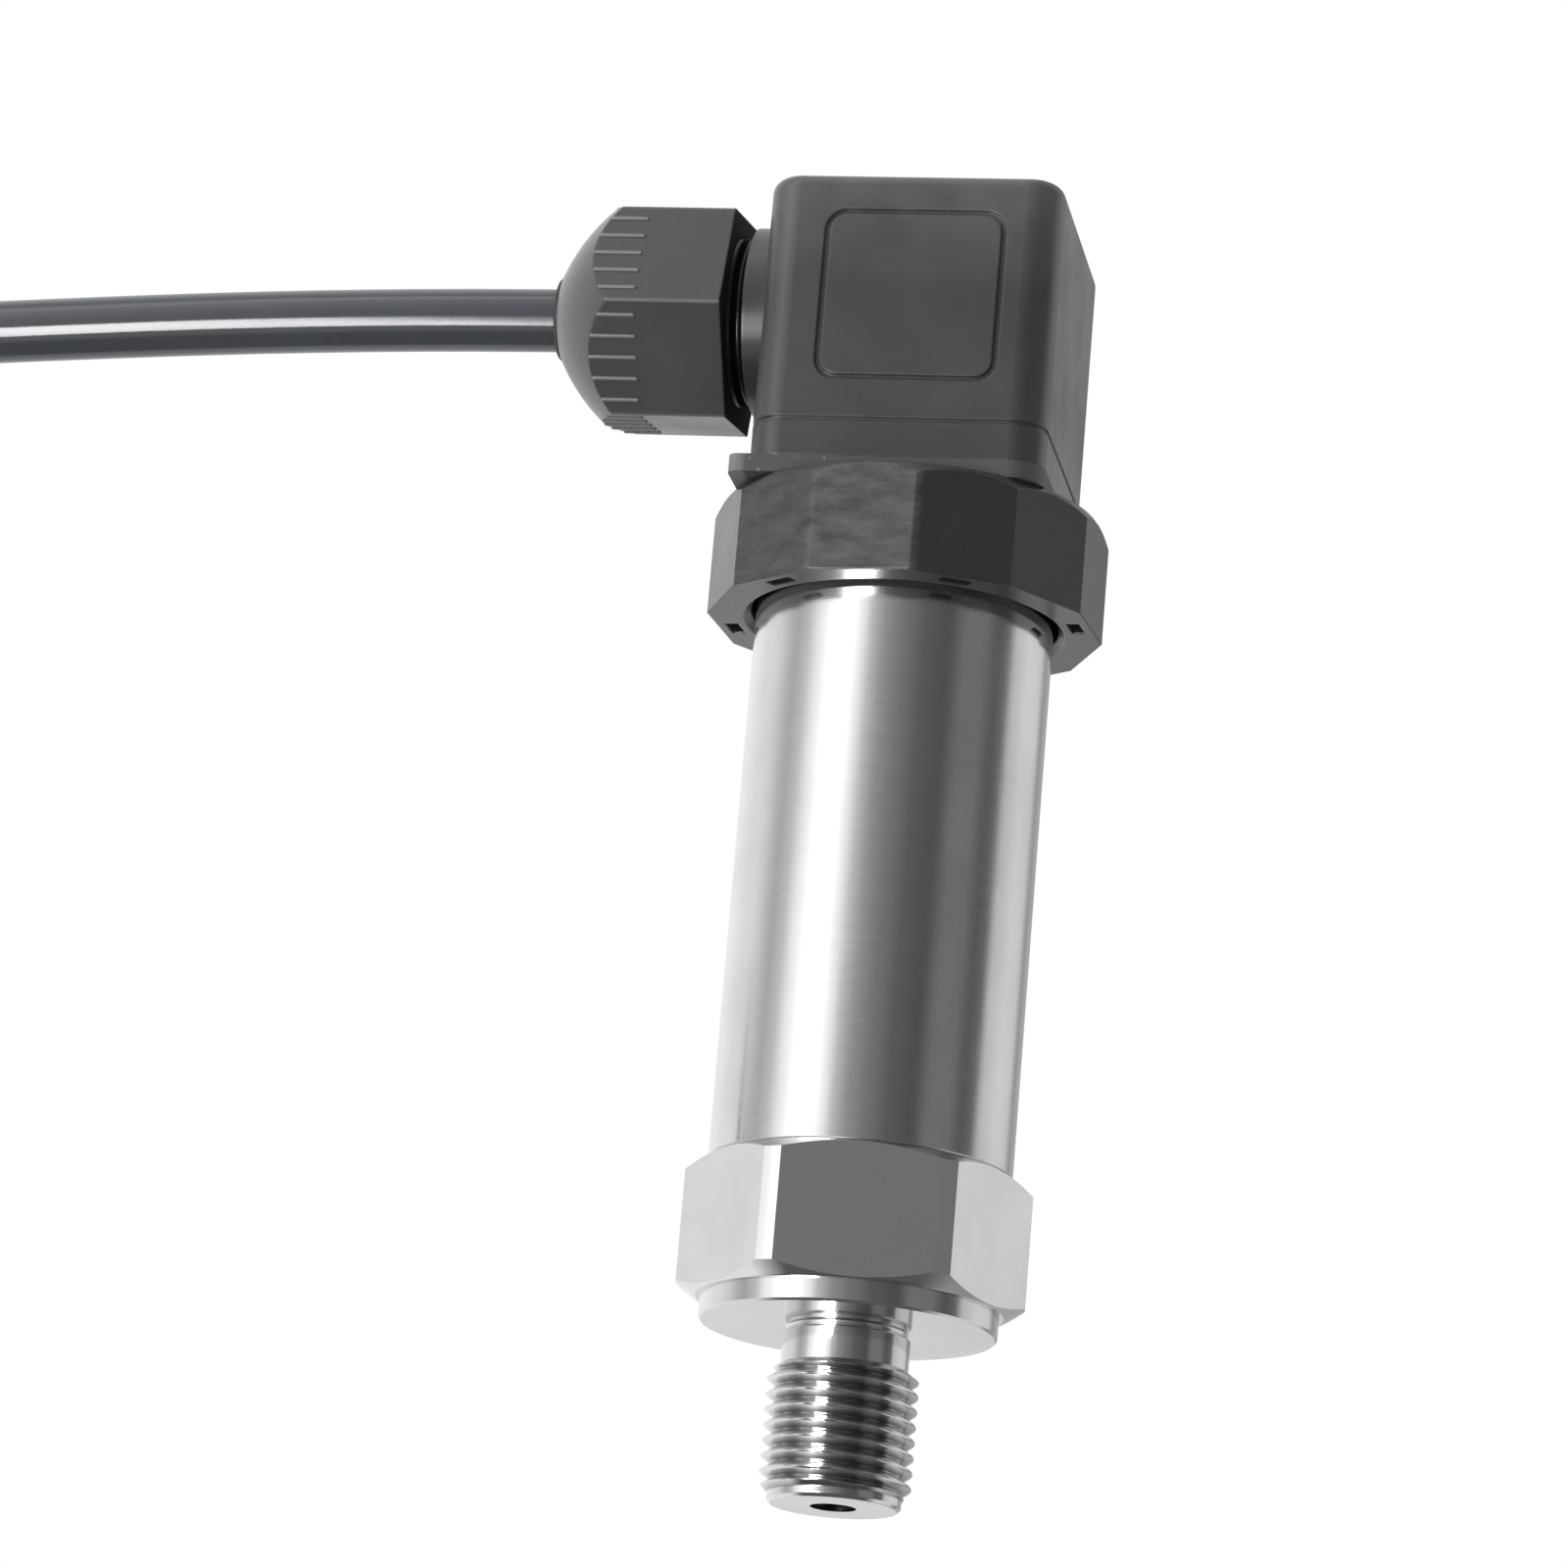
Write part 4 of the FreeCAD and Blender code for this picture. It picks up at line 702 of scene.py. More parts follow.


# %% [markdown]
# The housing has painted light toward its top, where light from above falls, is scratched on its
# right side, and has painted shade, near black, on its threaded spout between the boss and the
# nut. That thread is fine and half hidden, so a bump is enough.

# %% Housing: painted top light, scratches and painted spout shade
BOSS_END = -15.57 * MM
SPOUT_PITCH = 1.5 * MM
SPOUT_BUMP = 0.2 * MM
PAINTED_TOP_LIGHT = (0.112, 0.113, 0.116)
SCRATCH_GREY = (0.10, 0.10, 0.104)
SPOUT_PAINTED_SHADE = (0.009, 0.009, 0.010)
SCRATCH_STRETCH = (1, 0.6, 0.10)

tree = housing_plastic.node_tree
across, back, height = coordinates(tree)
right, top = span("plug_housing", 0)[1], span("plug_housing", 2)[1]
cloudy = between(tree, noise(tree, 240, detail=4.0), 0.55, 1.0, 0.35, 0.6)
# Painted light: the housing is paler toward its top, where light from above falls.
tinted(housing_plastic, PAINTED_TOP_LIGHT, rising(tree, height, top, (-11, 0)), cloudy)
scratches = between(tree, noise(tree, 1500, SCRATCH_STRETCH, 4.0, 0.6), 0.0, 0.8, 0.56, 0.72)
tinted(housing_plastic, SCRATCH_GREY, rising(tree, across, right, (-0.5, -0.1)), scratches)
# Painted shade: the spout between the boss and the nut is near black because it lies in shadow.
spout = falling(tree, across, BOSS_END, (-0.15, -0.05))
tinted(housing_plastic, SPOUT_PAINTED_SHADE, spout)
turns = maths(tree, "SINE", maths(tree, "MULTIPLY", across, 2 * math.pi / SPOUT_PITCH))
bump(housing_plastic, maths(tree, "MULTIPLY", turns, spout), SPOUT_BUMP)
# The print lists the painted top light, the real scratches and the painted shade on the spout.
print("housing: painted_top_light, scratched and black on its spout")

# %% [markdown]
# The nut has painted light on its dome, a painted highlight along its corners, and rib tops that
# are paler partly from wear and partly as a painted highlight. Its back has painted shade, near
# black, and is also dull. A point's reach is its distance from the axis across the nearest pair
# of flats, so it is half the nut's width on a flat, less on the dome and more on a rib.

# %% Nut: painted light, painted highlights, worn ribs and painted shade
NUT_TURN = 10
NUT_FLAT = 19.0 * MM
NUT_REACH = NUT_FLAT / 2
NUT_CORNER = NUT_REACH / math.cos(math.radians(30))
GLAND_AXIS = GLAND_HEIGHT * MM
DOME_PAINTED_LIGHT = (0.088, 0.090, 0.097)
RIB_WEAR_AND_HIGHLIGHT = (0.21, 0.21, 0.22)
CORNER_PAINTED_HIGHLIGHT = (0.14, 0.14, 0.148)
BACK_PAINTED_SHADE = (0.012, 0.012, 0.013)
BACK_ROUGHNESS = 0.95

tree = nut_plastic.node_tree
place = add(tree, "ShaderNodeTexCoord").outputs["Object"]
from_nut = add(tree, "ShaderNodeVectorMath", {0: place, 1: (0, 0, -GLAND_AXIS)}).outputs[0]
along, back, up = add(tree, "ShaderNodeSeparateXYZ", {0: from_nut}).outputs
reach = 0.0
for number in range(3):
    angle = math.radians(NUT_TURN + 60 * number)
    across = {0: from_nut, 1: (0, -math.sin(angle), math.cos(angle))}
    dot = add(tree, "ShaderNodeVectorMath", across, operation="DOT_PRODUCT").outputs["Value"]
    reach = maths(tree, "MAXIMUM", reach, maths(tree, "ABSOLUTE", dot))
from_axis = root_of_squares(tree, back, up)
nut_start, nut_end = span("gland_nut", 0)
off_flats = falling(tree, reach, NUT_REACH, (-0.1, -0.03))
# Painted light: the dome is paler, where light from the left falls on it.
tinted(nut_plastic, DOME_PAINTED_LIGHT, off_flats, falling(tree, along, nut_start, (6, 7)))
# Rib tops: partly pale wear, partly a painted highlight.
tinted(nut_plastic, RIB_WEAR_AND_HIGHLIGHT, rising(tree, reach, NUT_REACH, (0.01, 0.05)))
# Painted highlight along the corners between the flats.
tinted(nut_plastic, CORNER_PAINTED_HIGHLIGHT, rising(tree, from_axis, NUT_CORNER, (-0.13, -0.06)))
off_flats = falling(tree, reach, NUT_REACH, (-0.08, -0.03))
# Painted shade: the nut's back is near black because it lies in shadow.
tinted(nut_plastic, BACK_PAINTED_SHADE, off_flats, rising(tree, along, nut_end, (-3, -2.9)))
duller(nut_plastic, BACK_ROUGHNESS, rising(tree, along, nut_end, (-0.06, -0.02)))
print("nut:", round((nut_end - nut_start) / MM, 2), "mm long")

# %% [markdown]
# Two flats of the ring carry pale rubs where a wrench slipped. The gasket is greyer than the
# other seals, most of all on the gland's side, and speckled with dust. The other seals share
# its rubber, so the gasket's own height keeps them black.

# %% Worn ring and gasket
RING_FLAT = 17.0 * MM
RUBS = ((-5, 1.0), (-35, 0.55))
RUB_GREY = (0.115, 0.114, 0.112)
RUB_STRETCH = (0.45, 0.45, 1.1)
GASKET_SIDE = -13 * MM
GASKET_GREY = (0.19, 0.19, 0.188)
DUST_GREY = (0.5, 0.5, 0.5)

tree = ring_plastic.node_tree
for degrees, share in RUBS:
    on_flat = rising(tree, facing(tree, degrees), RING_FLAT, (-0.4, -0.1), share)
    rubs = between(tree, noise(tree, 650, RUB_STRETCH, 6.0, 0.7), 0.0, 1.0, 0.36, 0.66)
    tinted(ring_plastic, RUB_GREY, on_flat, rubs)

tree = seal_rubber.node_tree
across, back, height = coordinates(tree)
low, high = span("profile_gasket", 2)
in_gasket = (
    falling(tree, across, GASKET_SIDE, (-0.5, 0), 0.3),
    rising(tree, height, low, (-0.2, 0)),
    falling(tree, height, high, (0, 0.2)),
)
tinted(seal_rubber, GASKET_GREY, *in_gasket)
specks = between(tree, noise(tree, 1400, detail=1.0), 0.0, 1.0, 0.70, 0.74)
tinted(seal_rubber, DUST_GREY, specks, *in_gasket)
print("ring and gasket: rubbed and dusty")

# %% [markdown]
# The thread is darker in its roots, between its start below the collar and its tip.

# %% Darker thread roots
ROOT_DARK_DEPTHS = (0.85, 0.3)
ROOT_DARK_GREY = (0.34, 0.34, 0.34)

tree = fitting_steel.node_tree
across, back, height = coordinates(tree)
root, crest = (THREAD_RADIUS - share * THREAD_DEPTH for share in ROOT_DARK_DEPTHS)
# Darker toward the thread's roots, by how deep a point lies.
tinted(
    fitting_steel,
    ROOT_DARK_GREY,
    between(tree, root_of_squares(tree, across, back), 1.0, 0.0, root, crest),
    falling(tree, height, -THREAD_START, (0, 0.3)),
    rising(tree, height, thread_end, (-0.1, 0)),
)
print("thread: darker_roots", round((crest - root) / MM, 2), "mm deep")

# %% [markdown]
# ### The thread's cut
#
# The turned skin and its steel are ready, so the thread can be cut into it. The tree's sizes
# are inputs with names, and its result is kept as a plain mesh.

# %% Cut the thread


def thread_tree():
    """Cuts a helical thread into a finely turned skin."""
    names = ("Pitch", "Depth", "Radius", "Top", "Bottom", "Sharpness")
    tree, inputs, outputs = new_tree("helical_thread", names)
    size = inputs.outputs
    place = add(tree, "GeometryNodeInputPosition").outputs[0]
    x, y, z = add(tree, "ShaderNodeSeparateXYZ", {0: place}).outputs
    turned_radius = root_of_squares(tree, x, y)
    angle = maths(tree, "ARCTAN2", y, x)
    along = maths(tree, "MULTIPLY", maths(tree, "DIVIDE", z, size["Pitch"]), 2 * math.pi)
    wave = maths(tree, "COSINE", maths(tree, "ADD", along, angle))
    rounded = maths(tree, "ARCSINE", maths(tree, "MULTIPLY", wave, size["Sharpness"]))
    level = maths(tree, "DIVIDE", rounded, maths(tree, "ARCSINE", size["Sharpness"]))
    drop = maths(tree, "MULTIPLY", maths(tree, "SUBTRACT", 1.0, level), 0.5)
    cut = maths(tree, "SUBTRACT", size["Radius"], maths(tree, "MULTIPLY", drop, size["Depth"]))
    kept = maths(tree, "MINIMUM", turned_radius, cut)
    ratio = maths(tree, "DIVIDE", kept, turned_radius)
    moved = add(
        tree,
        "ShaderNodeCombineXYZ",
        {0: maths(tree, "MULTIPLY", x, ratio), 1: maths(tree, "MULTIPLY", y, ratio), 2: z},
    )
    threaded = maths(
        tree,
        "MULTIPLY",
        maths(tree, "LESS_THAN", z, size["Top"]),
        maths(tree, "GREATER_THAN", z, size["Bottom"]),
    )
    inputs_of_place = {
        "Geometry": size["Geometry"],
        "Selection": threaded,
        "Position": moved.outputs[0],
    }
    set_place = add(tree, "GeometryNodeSetPosition", inputs_of_place)
    end_tree(tree, set_place.outputs[0], inputs, outputs)
    return tree


thread_sizes = {
    "Pitch": THREAD_PITCH,
    "Depth": THREAD_DEPTH,
    "Radius": THREAD_RADIUS,
    "Top": -RELIEF_END,
    "Bottom": thread_end - 0.01 * MM,
    "Sharpness": THREAD_SHARPNESS,
}
run_tree(thread_skin, thread_tree(), thread_sizes, fitting_steel)

# %% [markdown]
# The copy of the fitting keeps everything but its skin below the collar, and the threaded
# skin is joined to it, so that hexagon, collar and thread stay one turned piece. The two are
# smoothed apart: the hexagon's flats meet its turned corners at only 27 degrees and have to
# stay crisp, while the thread's crests and roots are rounded.

# %% Join the thread to the fitting
FLAT_LIMIT = 18
WELD = 0.001 * MM
NEAR = 0.01 * MM


def copied(node):
    """A copy of a solid's mesh as one welded mesh, which works out its own normals."""
    mesh = nodes[node].data.copy()
    mesh.attributes.remove(mesh.attributes["custom_normal"])
    shape = bmesh.new()
    shape.from_mesh(mesh)
    bpy.data.meshes.remove(mesh)
    bmesh.ops.remove_doubles(shape, verts=shape.verts, dist=WELD)
    return shape


def on_outer_skin(face):
    """Whether a face lies below the collar, from the thread in to the port's edge."""
    reaches = [corner.co.xy.length for corner in face.verts]
    below = max(corner.co.z for corner in face.verts) < WELD
    outside = min(reaches) > PORT_RADIUS - NEAR and max(reaches) < THREAD_RADIUS + NEAR
    in_port = all(abs(reach - PORT_RADIUS) < NEAR for reach in reaches)
    return below and outside and not in_port


fitting_shape = copied("process_fitting")
outer_skin = [face for face in fitting_shape.faces if on_outer_skin(face)]
bmesh.ops.delete(fitting_shape, geom=outer_skin, context="FACES")
fitting_body = smooth(mesh_object("fitting_body", fitting_shape), FLAT_LIMIT)
smooth(thread_skin, ROUND_LIMIT)
joined_shape = bmesh.new()
for half in (fitting_body, thread_skin):
    joined_shape.from_mesh(half.data)
    bpy.data.objects.remove(half)
threaded_fitting = mesh_object("threaded_fitting", joined_shape)
print("fitting:", len(outer_skin), "plain faces replaced")

# %% [markdown]
# ## The gland nut's ribs
#
# The nut has five fine ribs on each flat, at its domed end, for the fingers. They repeat by a
# rule, so a Geometry Nodes tree places them: point number i belongs to flat i / 5 and to rib
# i modulo 5. Each rib is a low rounded strip along the axis. It starts where the dome cuts its
# flat: the dome is turned with a large arc, so the start follows from the arc's middle and
# from how far the rib lies from the axis.

# %% Rib sizes
RIBS_A_FLAT = 5
RIB_SPACING = 2.02 * MM
RIB_END = 8.5 * MM
RIB_WIDTH = 0.40 * MM
RIB_HEIGHT = 0.17 * MM
RIB_FOOT = 0.1 * MM
RIB_TAPER = 0.18 * MM
RIB_ARC_STEPS = 6
RIB_ENDS = (0.3, 0.25)
NUT_END_RADIUS = 4.1 * MM
DOME_LENGTH = 5.9 * MM
DOME_RADIUS = 18.0 * MM
nut_low, nut_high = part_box("gland_nut")
nut_axis = Vector((0, (nut_low.y + nut_high.y) / 2, (nut_low.z + nut_high.z) / 2))
dome_chord = Vector((DOME_LENGTH, NUT_CORNER - NUT_END_RADIUS))
to_middle = math.sqrt(DOME_RADIUS**2 - (dome_chord.length / 2) ** 2)
dome_middle = Vector((nut_low.x, NUT_END_RADIUS)) + dome_chord / 2
dome_middle += Vector((dome_chord.y, -dome_chord.x)).normalized() * to_middle
print("ribs:", 6 * RIBS_A_FLAT, "of", round(RIB_WIDTH / MM, 2), "mm")

# %% Ribs


def rib_mesh():
    """One rib of unit length along X: a low rounded ridge that tapers at both ends."""
    shape = bmesh.new()
    taper = RIB_TAPER / RIB_END
    rises = ((0, RIB_ENDS[0]), (taper, 1.0), (1 - taper, 1.0), (1, RIB_ENDS[1]))
    sections = []
    for x, rise in rises:
        section = [shape.verts.new((x, -RIB_WIDTH / 2 * rise, -RIB_FOOT))]
        for step in range(RIB_ARC_STEPS + 1):
            angle = math.pi * step / RIB_ARC_STEPS
            across = -RIB_WIDTH / 2 * math.cos(angle) * rise
            section.append(shape.verts.new((x, across, RIB_HEIGHT * math.sin(angle) * rise)))
        section.append(shape.verts.new((x, RIB_WIDTH / 2 * rise, -RIB_FOOT)))
        sections.append(section)
    corners = len(sections[0])
    for first, second in zip(sections, sections[1:]):
        for index in range(corners):
            after = (index + 1) % corners
            shape.faces.new((first[index], first[after], second[after], second[index]))
    shape.faces.new(sections[0])
    shape.faces.new(list(reversed(sections[-1])))
    bmesh.ops.recalc_face_normals(shape, faces=shape.faces)
    return shape


def ribs_tree():
    """Sets a rib on each point of a rule: flats round the nut, and ribs across each flat."""
    names = ("Axis Z", "Flat", "Turn", "Spacing", "End X", "Dome X", "Dome Offset", "Dome Radius")
    tree, inputs, outputs = new_tree("nut_ribs", names)
    size = inputs.outputs
    index = add(tree, "GeometryNodeInputIndex").outputs[0]
    flat = maths(tree, "FLOOR", maths(tree, "DIVIDE", index, float(RIBS_A_FLAT)))
    place_on_flat = maths(tree, "MODULO", index, float(RIBS_A_FLAT))
    rib = maths(tree, "SUBTRACT", place_on_flat, (RIBS_A_FLAT - 1) / 2)
    angle = maths(tree, "ADD", maths(tree, "MULTIPLY", flat, math.pi / 3), size["Turn"])
    aside = maths(tree, "MULTIPLY", rib, size["Spacing"])
    sine, cosine = maths(tree, "SINE", angle), maths(tree, "COSINE", angle)
    aside_y = maths(tree, "MULTIPLY", aside, cosine)
    aside_z = maths(tree, "MULTIPLY", aside, sine)
    across_y = maths(tree, "MULTIPLY_ADD", size["Flat"], sine, aside_y)
    flat_z = maths(tree, "MULTIPLY_ADD", size["Flat"], cosine, size["Axis Z"])
    across_z = maths(tree, "SUBTRACT", flat_z, aside_z)
    flat_square = maths(tree, "MULTIPLY", size["Flat"], size["Flat"])
    squares = maths(tree, "MULTIPLY_ADD", aside, aside, flat_square)
    from_middle = maths(tree, "SUBTRACT", maths(tree, "SQRT", squares), size["Dome Offset"])
    drop = maths(
        tree,
        "SUBTRACT",
        maths(tree, "MULTIPLY", size["Dome Radius"], size["Dome Radius"]),
        maths(tree, "MULTIPLY", from_middle, from_middle),
    )
    start = maths(tree, "SUBTRACT", size["Dome X"], maths(tree, "SQRT", drop))
    length = maths(tree, "SUBTRACT", size["End X"], start)
    place = add(tree, "ShaderNodeCombineXYZ", {0: start, 1: across_y, 2: across_z})
    point_inputs = {"Count": 6 * RIBS_A_FLAT, "Position": place.outputs[0]}
    back_turn = maths(tree, "MULTIPLY", angle, -1.0)
    turn = add(tree, "ShaderNodeCombineXYZ", {0: back_turn, 1: 0.0, 2: 0.0})
    stretch = add(tree, "ShaderNodeCombineXYZ", {0: length, 1: 1.0, 2: 1.0})
    rib_inputs = {
        "Points": add(tree, "GeometryNodePoints", point_inputs).outputs[0],
        "Instance": size["Geometry"],
        "Rotation": turn.outputs[0],
        "Scale": stretch.outputs[0],
    }
    placed = add(tree, "GeometryNodeInstanceOnPoints", rib_inputs)
    end_tree(tree, placed.outputs[0], inputs, outputs)
    return tree


nut_ribs = mesh_object("nut_ribs", rib_mesh())
rib_sizes = {
    "Axis Z": nut_axis.z,
    "Flat": NUT_REACH,
    "Turn": math.radians(60 - NUT_TURN),
    "Spacing": RIB_SPACING,
    "End X": nut_low.x + RIB_END,
    "Dome X": dome_middle.x,
    "Dome Offset": dome_middle.y,
    "Dome Radius": DOME_RADIUS,
}
run_tree(nut_ribs, ribs_tree(), rib_sizes, nut_plastic)
smooth(nut_ribs, ROUND_LIMIT)

# %% [markdown]
# A black ring at the nut's mouth is painted shade: it is put where the nut's rounded mouth lies
# in shadow, and it is drawn as the seal's lip, in the seals' black rubber. It is a short turned
# ring with a rounded nose, and it turns and travels with the nut.

# %% Mouth ring
LIP_INNER = 3.14 * MM
LIP_OUTER = 3.85 * MM
LIP_THROAT = 3.38 * MM
LIP_NOSE = 0.42 * MM
LIP_DEPTH = 1.0 * MM
LIP_SEAT = 0.3 * MM
INNER_EDGE = (0.15 * MM, 0.7 * LIP_NOSE)
OUTER_EDGE = (0.2 * MM, 0.5 * LIP_NOSE)
LIP_SEGMENTS = 64
lip_profile = [
    (LIP_INNER, LIP_DEPTH),
    (LIP_INNER, -INNER_EDGE[1]),
    (LIP_INNER + INNER_EDGE[0], -LIP_NOSE),
    (LIP_OUTER - OUTER_EDGE[0], -LIP_NOSE),
    (LIP_OUTER, -OUTER_EDGE[1]),
    (LIP_OUTER, 0),
    (LIP_THROAT, LIP_SEAT),
    (LIP_THROAT, LIP_DEPTH),
    (LIP_INNER, LIP_DEPTH),
]
lip_shape = bmesh.new()
add_turned_skin(lip_shape, lip_profile, LIP_SEGMENTS)
bmesh.ops.remove_doubles(lip_shape, verts=lip_shape.verts, dist=WELD)
upright = Matrix.Rotation(math.radians(90), 4, "Y")
mouth_place = Matrix.Translation((nut_low.x, nut_axis.y, nut_axis.z))
bmesh.ops.transform(lip_shape, matrix=mouth_place @ upright, verts=lip_shape.verts)
bmesh.ops.recalc_face_normals(lip_shape, faces=lip_shape.faces)
# Painted shade: a black ring where the nut's mouth lies in shadow.
mouth_shade_lip = smooth(mesh_object("mouth_shade_lip", lip_shape), ROUND_LIMIT)
print("mouth ring:", len(mouth_shade_lip.data.polygons), "faces")

# %% [markdown]
# ## The tie's head
#
# The band of the coil's tie is in the frame. Its locking head, with a slot for the tail, and
# the cut tail are small moulded pieces that sit on the front of the band.

# %% Tie head
TIE_ANGLE = 200
TIE_WIDTH = 3.6 * MM
TIE_THICKNESS = 1.1 * MM
HEAD_LENGTH = 5.2 * MM
HEAD_HEIGHT = 3.4 * MM
HEAD_RISE = 0.4 * HEAD_HEIGHT
HEAD_EDGE = 0.2 * MM
WALL_THICKNESS = 1.0 * MM
WALL_PLACE = TIE_WIDTH / 2 + 0.35 * MM
BAR_SIDES = (1.4 * MM, TIE_WIDTH + 1.2 * MM, HEAD_HEIGHT)
BAR_PLACE = 0.36 * HEAD_LENGTH
TAIL_LENGTH = 7.0 * MM
TAIL_WIDTH = 0.94 * TIE_WIDTH
TAIL_EDGE = 0.1 * MM
tie_turn = math.radians(TIE_ANGLE)
tie_radial = Vector((math.cos(tie_turn), 0, math.sin(tie_turn)))
tie_along = Vector((-math.sin(tie_turn), 0, math.cos(tie_turn)))
tie_outwards = Vector((0, -1, 0))
head_place = coil_middle + tie_radial * (outer_layer + inner_layer) / 2
head_place.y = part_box("cable_tie")[0].y


def add_block(shape, middle, axes, sides, rounding):
    """A box with chamfered edges, turned to the three axes."""
    box = bmesh.ops.create_cube(shape, size=1)["verts"]
    for corner in box:
        local = corner.co.copy()
        corner.co = middle + sum(
            (axis * part * side for axis, part, side in zip(axes, local, sides)), Vector()
        )
    edges = {edge for corner in box for edge in corner.link_edges}
    bmesh.ops.bevel(shape, geom=list(edges), offset=rounding, segments=2, affect="EDGES")


head_shape = bmesh.new()
tie_axes = (tie_radial, tie_along, tie_outwards)
head_middle = head_place + tie_outwards * HEAD_RISE
wall_sides = (HEAD_LENGTH, WALL_THICKNESS, HEAD_HEIGHT)
for side in (-WALL_PLACE, WALL_PLACE):
    add_block(head_shape, head_middle + tie_along * side, tie_axes, wall_sides, HEAD_EDGE)
for side in (-BAR_PLACE, BAR_PLACE):
    add_block(head_shape, head_middle + tie_radial * side, tie_axes, BAR_SIDES, HEAD_EDGE)
tail_middle = head_place + tie_outwards * TAIL_LENGTH / 2
tail_sides = (TIE_THICKNESS, TAIL_WIDTH, TAIL_LENGTH)
add_block(head_shape, tail_middle, tie_axes, tail_sides, TAIL_EDGE)
tie_head = smooth(mesh_object("tie_head", head_shape))
print("tie head:", len(tie_head.data.polygons), "faces")

# %% [markdown]
# ## Finishes on the pieces
#
# The record names a material slot for each node, and the finishes were kept under the same
# names, so every solid gets its own. A new piece takes the finish of one slot in the same way.

# %% Finish every piece
slots = {part["node"]: part["material_slot"] for part in frame["record"]["subparts"]}
for name, solid in nodes.items():
    solid.data.materials.clear()
    solid.data.materials.append(finishes[slots[name]])


def finish(piece, slot):
    piece.data.materials.clear()
    piece.data.materials.append(finishes[slot])


piece_slots = [
    (threaded_fitting, "fitting_steel"),
    (nut_ribs, "nut_plastic"),
    (mouth_shade_lip, "seal_rubber"),
    (tie_head, "tie_plastic"),
    (cable, "cable_sheath"),
    (end_sheath, "cable_sheath"),
    (end_ferrules, "contact_brass"),
]
piece_slots += [(core, f"{colour}_insulation") for core, colour in zip(end_cores, CORE_COLOURS)]
for piece, slot in piece_slots:
    finish(piece, slot)
print("finished:", len(nodes), "solids and", len(piece_slots), "pieces")

# %% [markdown]
# ## Light
#
# The background is white, and polished steel shows it as it would in a studio: white panels
# to both sides and behind, and a darker room behind the camera. The world gives each
# direction its brightness by its angle round the transmitter. Camera rays see plain white,
# shiny surfaces see the panels, and matt surfaces get an even grey, so that a colour comes out
# about as it is written. Two soft lamps shape the dark plastics, the stronger one from the
# upper left, and a third is a panel of light that only shiny surfaces see.

# %% World
STUDIO = (
    # the white wall behind, from straight back round to the left
    (-180, 0.80), (-174, 0.98), (-150, 1.08), (-118, 0.98), (-110, 0.92), (-104, 0.80),
    # the gap beside it
    (-96, 0.62), (-90, 0.52), (-80, 0.66),
    # the softbox at the front left
    (-66, 1.25), (-48, 2.20), (-32, 1.20), (-24, 0.60),
    # the dark room behind the camera
    (-12, 0.33), (2, 0.22), (18, 0.13), (36, 0.10), (48, 0.22), (64, 0.22), (78, 0.12),
    # the white panel on the right
    (88, 0.16), (98, 0.72), (118, 0.86), (134, 0.80),
    # a slit, and the wall behind again
    (148, 0.34), (158, 0.50), (168, 0.44), (175, 0.52), (180, 0.80),
)
DIFFUSE_GREY = 0.52

world = bpy.data.worlds.new("studio")
world.use_nodes = True
bpy.context.scene.world = world
tree = world.node_tree
background = tree.nodes["Background"]
direction = add(tree, "ShaderNodeTexCoord").outputs["Generated"]
split = add(tree, "ShaderNodeSeparateXYZ", {0: direction}).outputs
backwards = maths(tree, "MULTIPLY", split[1], -1.0)
azimuth = maths(tree, "SUBTRACT", maths(tree, "ARCTAN2", split[0], backwards), CAMERA_SIDE)
turns = maths(tree, "FRACT", maths(tree, "ADD", maths(tree, "DIVIDE", azimuth, 2 * math.pi), 0.5))
ramp = add(tree, "ShaderNodeValToRGB", {0: turns})
ramp.color_ramp.interpolation = "EASE"
for index, (degrees, grey) in enumerate(STUDIO):
    share = (degrees + 180) / 360
    if index < 2:
        stop = ramp.color_ramp.elements[index]
        stop.position = share
    else:
        stop = ramp.color_ramp.elements.new(share)
    stop.color = (grey, grey, grey, 1)
print("studio:", len(ramp.color_ramp.elements), "panels")

# %% [markdown]
# Steel also mirrors what lies below it. A dim floor there keeps the collar's underside from
# going as bright as the walls.

# %% World for each kind of ray
FLOOR_GLOW = 0.12
FLOOR_GLOW_TOP = -0.77
FLOOR_GLOW_LOW = -0.87
rays = add(tree, "ShaderNodeLightPath").outputs
shiny = maths(tree, "MAXIMUM", rays["Is Glossy Ray"], rays["Is Transmission Ray"])
below = between(tree, split[2], 0.0, 1.0, FLOOR_GLOW_TOP, FLOOR_GLOW_LOW)
room = mixed(tree, below, ramp.outputs[0], (FLOOR_GLOW,) * 3)
seen = mixed(tree, shiny, (DIFFUSE_GREY,) * 3, room)
lit = mixed(tree, rays["Is Camera Ray"], seen, (1, 1, 1))
tree.links.new(lit, background.inputs["Color"])
background.inputs["Strength"].default_value = 1.0
world.cycles.sampling_method = "NONE"
bpy.context.scene.view_settings.view_transform = "Standard"
print("world: white behind, grey", DIFFUSE_GREY, "on matt surfaces")

# %% Lamps
LAMP_DISTANCE = 0.8
LAMP_AIM = Vector((0, 0, 0.05))


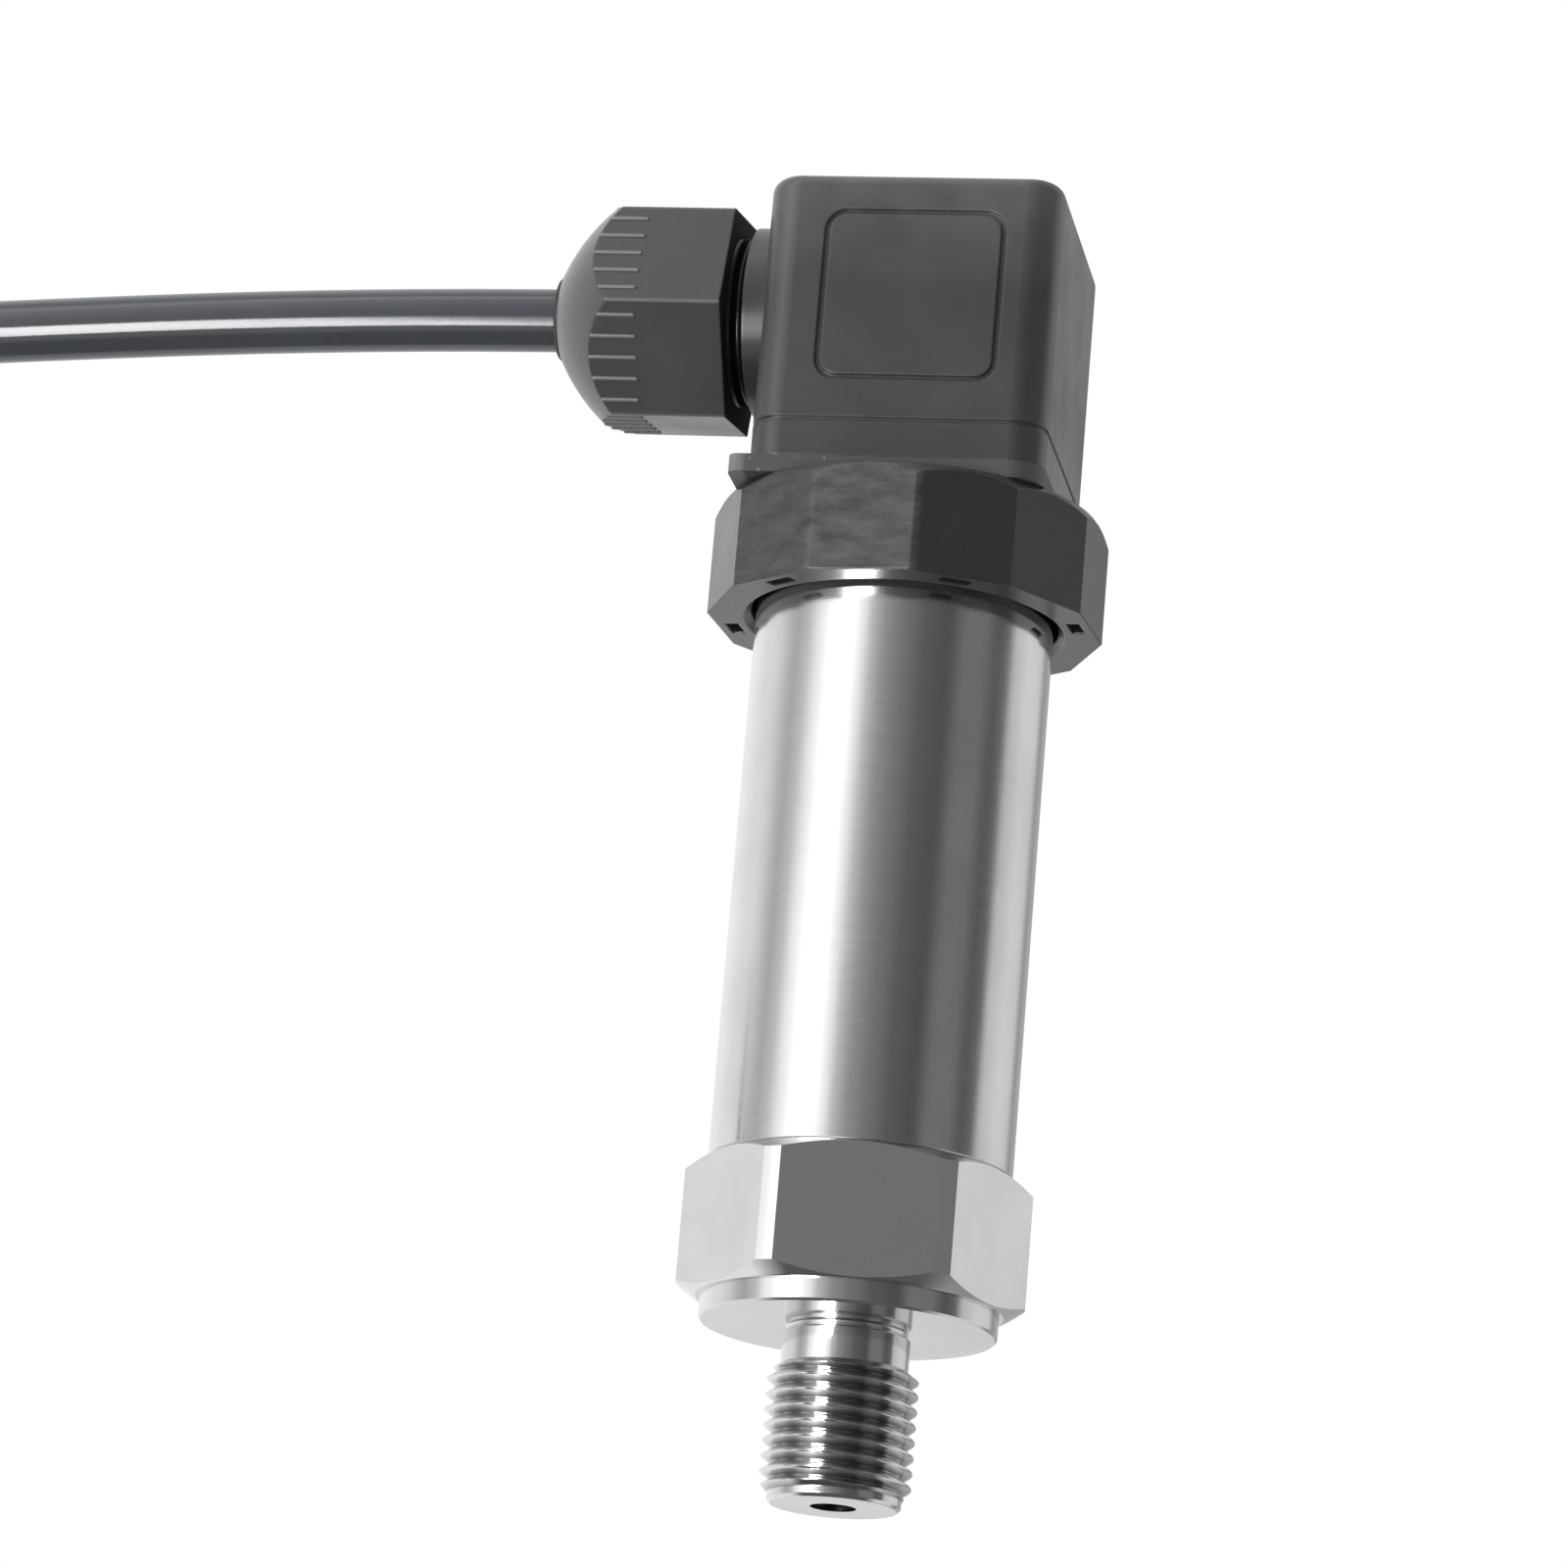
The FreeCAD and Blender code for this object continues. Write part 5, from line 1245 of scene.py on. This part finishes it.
def lamp(name, azimuth, elevation, size, power):
    """A soft lamp of (width, height), placed by its angle from the camera's side."""
    data = bpy.data.lights.new(name, "AREA")
    data.shape = "RECTANGLE"
    data.size, data.size_y = size
    data.energy = power
    light = bpy.data.objects.new(name, data)
    bpy.context.scene.collection.objects.link(light)
    around = math.radians(azimuth) + CAMERA_SIDE
    up = math.radians(elevation)
    away = Vector(
        (math.sin(around) * math.cos(up), -math.cos(around) * math.cos(up), math.sin(up))
    )
    light.location = LAMP_AIM + away * LAMP_DISTANCE
    light.rotation_mode = "QUATERNION"
    light.rotation_quaternion = away.to_track_quat("Z", "Y")
    return light


key = lamp("key_lamp", -70, 30, (0.45, 0.45), 4.4)
rim = lamp("rim_lamp", 112, 20, (0.5, 0.5), 1.4)
strip = lamp("strip_lamp", -37, -19, (0.28, 0.44), 7.8)
key.visible_glossy = rim.visible_glossy = strip.visible_diffuse = False
print("lamps:", [light.data.energy for light in (key, rim, strip)], "watts")

# %% [markdown]
# The floor lies well below and catches soft shadows. It stays out of reflections, because
# the world already gives steel its floor. So do the cable and its tie: the coil is storage,
# and the barrel would mirror it as a dark line.

# %% Floor
FLOOR_HEIGHT = -0.3
FLOOR_SIDE = 6.0
floor_shape = bmesh.new()
bmesh.ops.create_grid(floor_shape, x_segments=1, y_segments=1, size=FLOOR_SIDE / 2)
bmesh.ops.translate(floor_shape, verts=floor_shape.verts, vec=(0, 0, FLOOR_HEIGHT))
floor = mesh_object("floor", floor_shape)
floor_paint = new_finish("floor_paint", (0.86, 0.86, 0.86), 0.0, 0.8)
floor.data.materials.append(floor_paint)
for out_of_reflections in (floor, cable, nodes["cable_tie"]):
    out_of_reflections.visible_glossy = False
print("floor:", FLOOR_HEIGHT, "m")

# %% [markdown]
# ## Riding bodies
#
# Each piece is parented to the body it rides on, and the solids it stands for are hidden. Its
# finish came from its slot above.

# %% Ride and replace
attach(threaded_fitting, "transmitter")
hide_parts("process_fitting")
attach(nut_ribs, "gland_nut")
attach(mouth_shade_lip, "gland_nut")
for piece in [tie_head] + end_pieces + [cable]:
    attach(piece, "plug")
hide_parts("cable", "cable_coil")
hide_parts("cable_end")
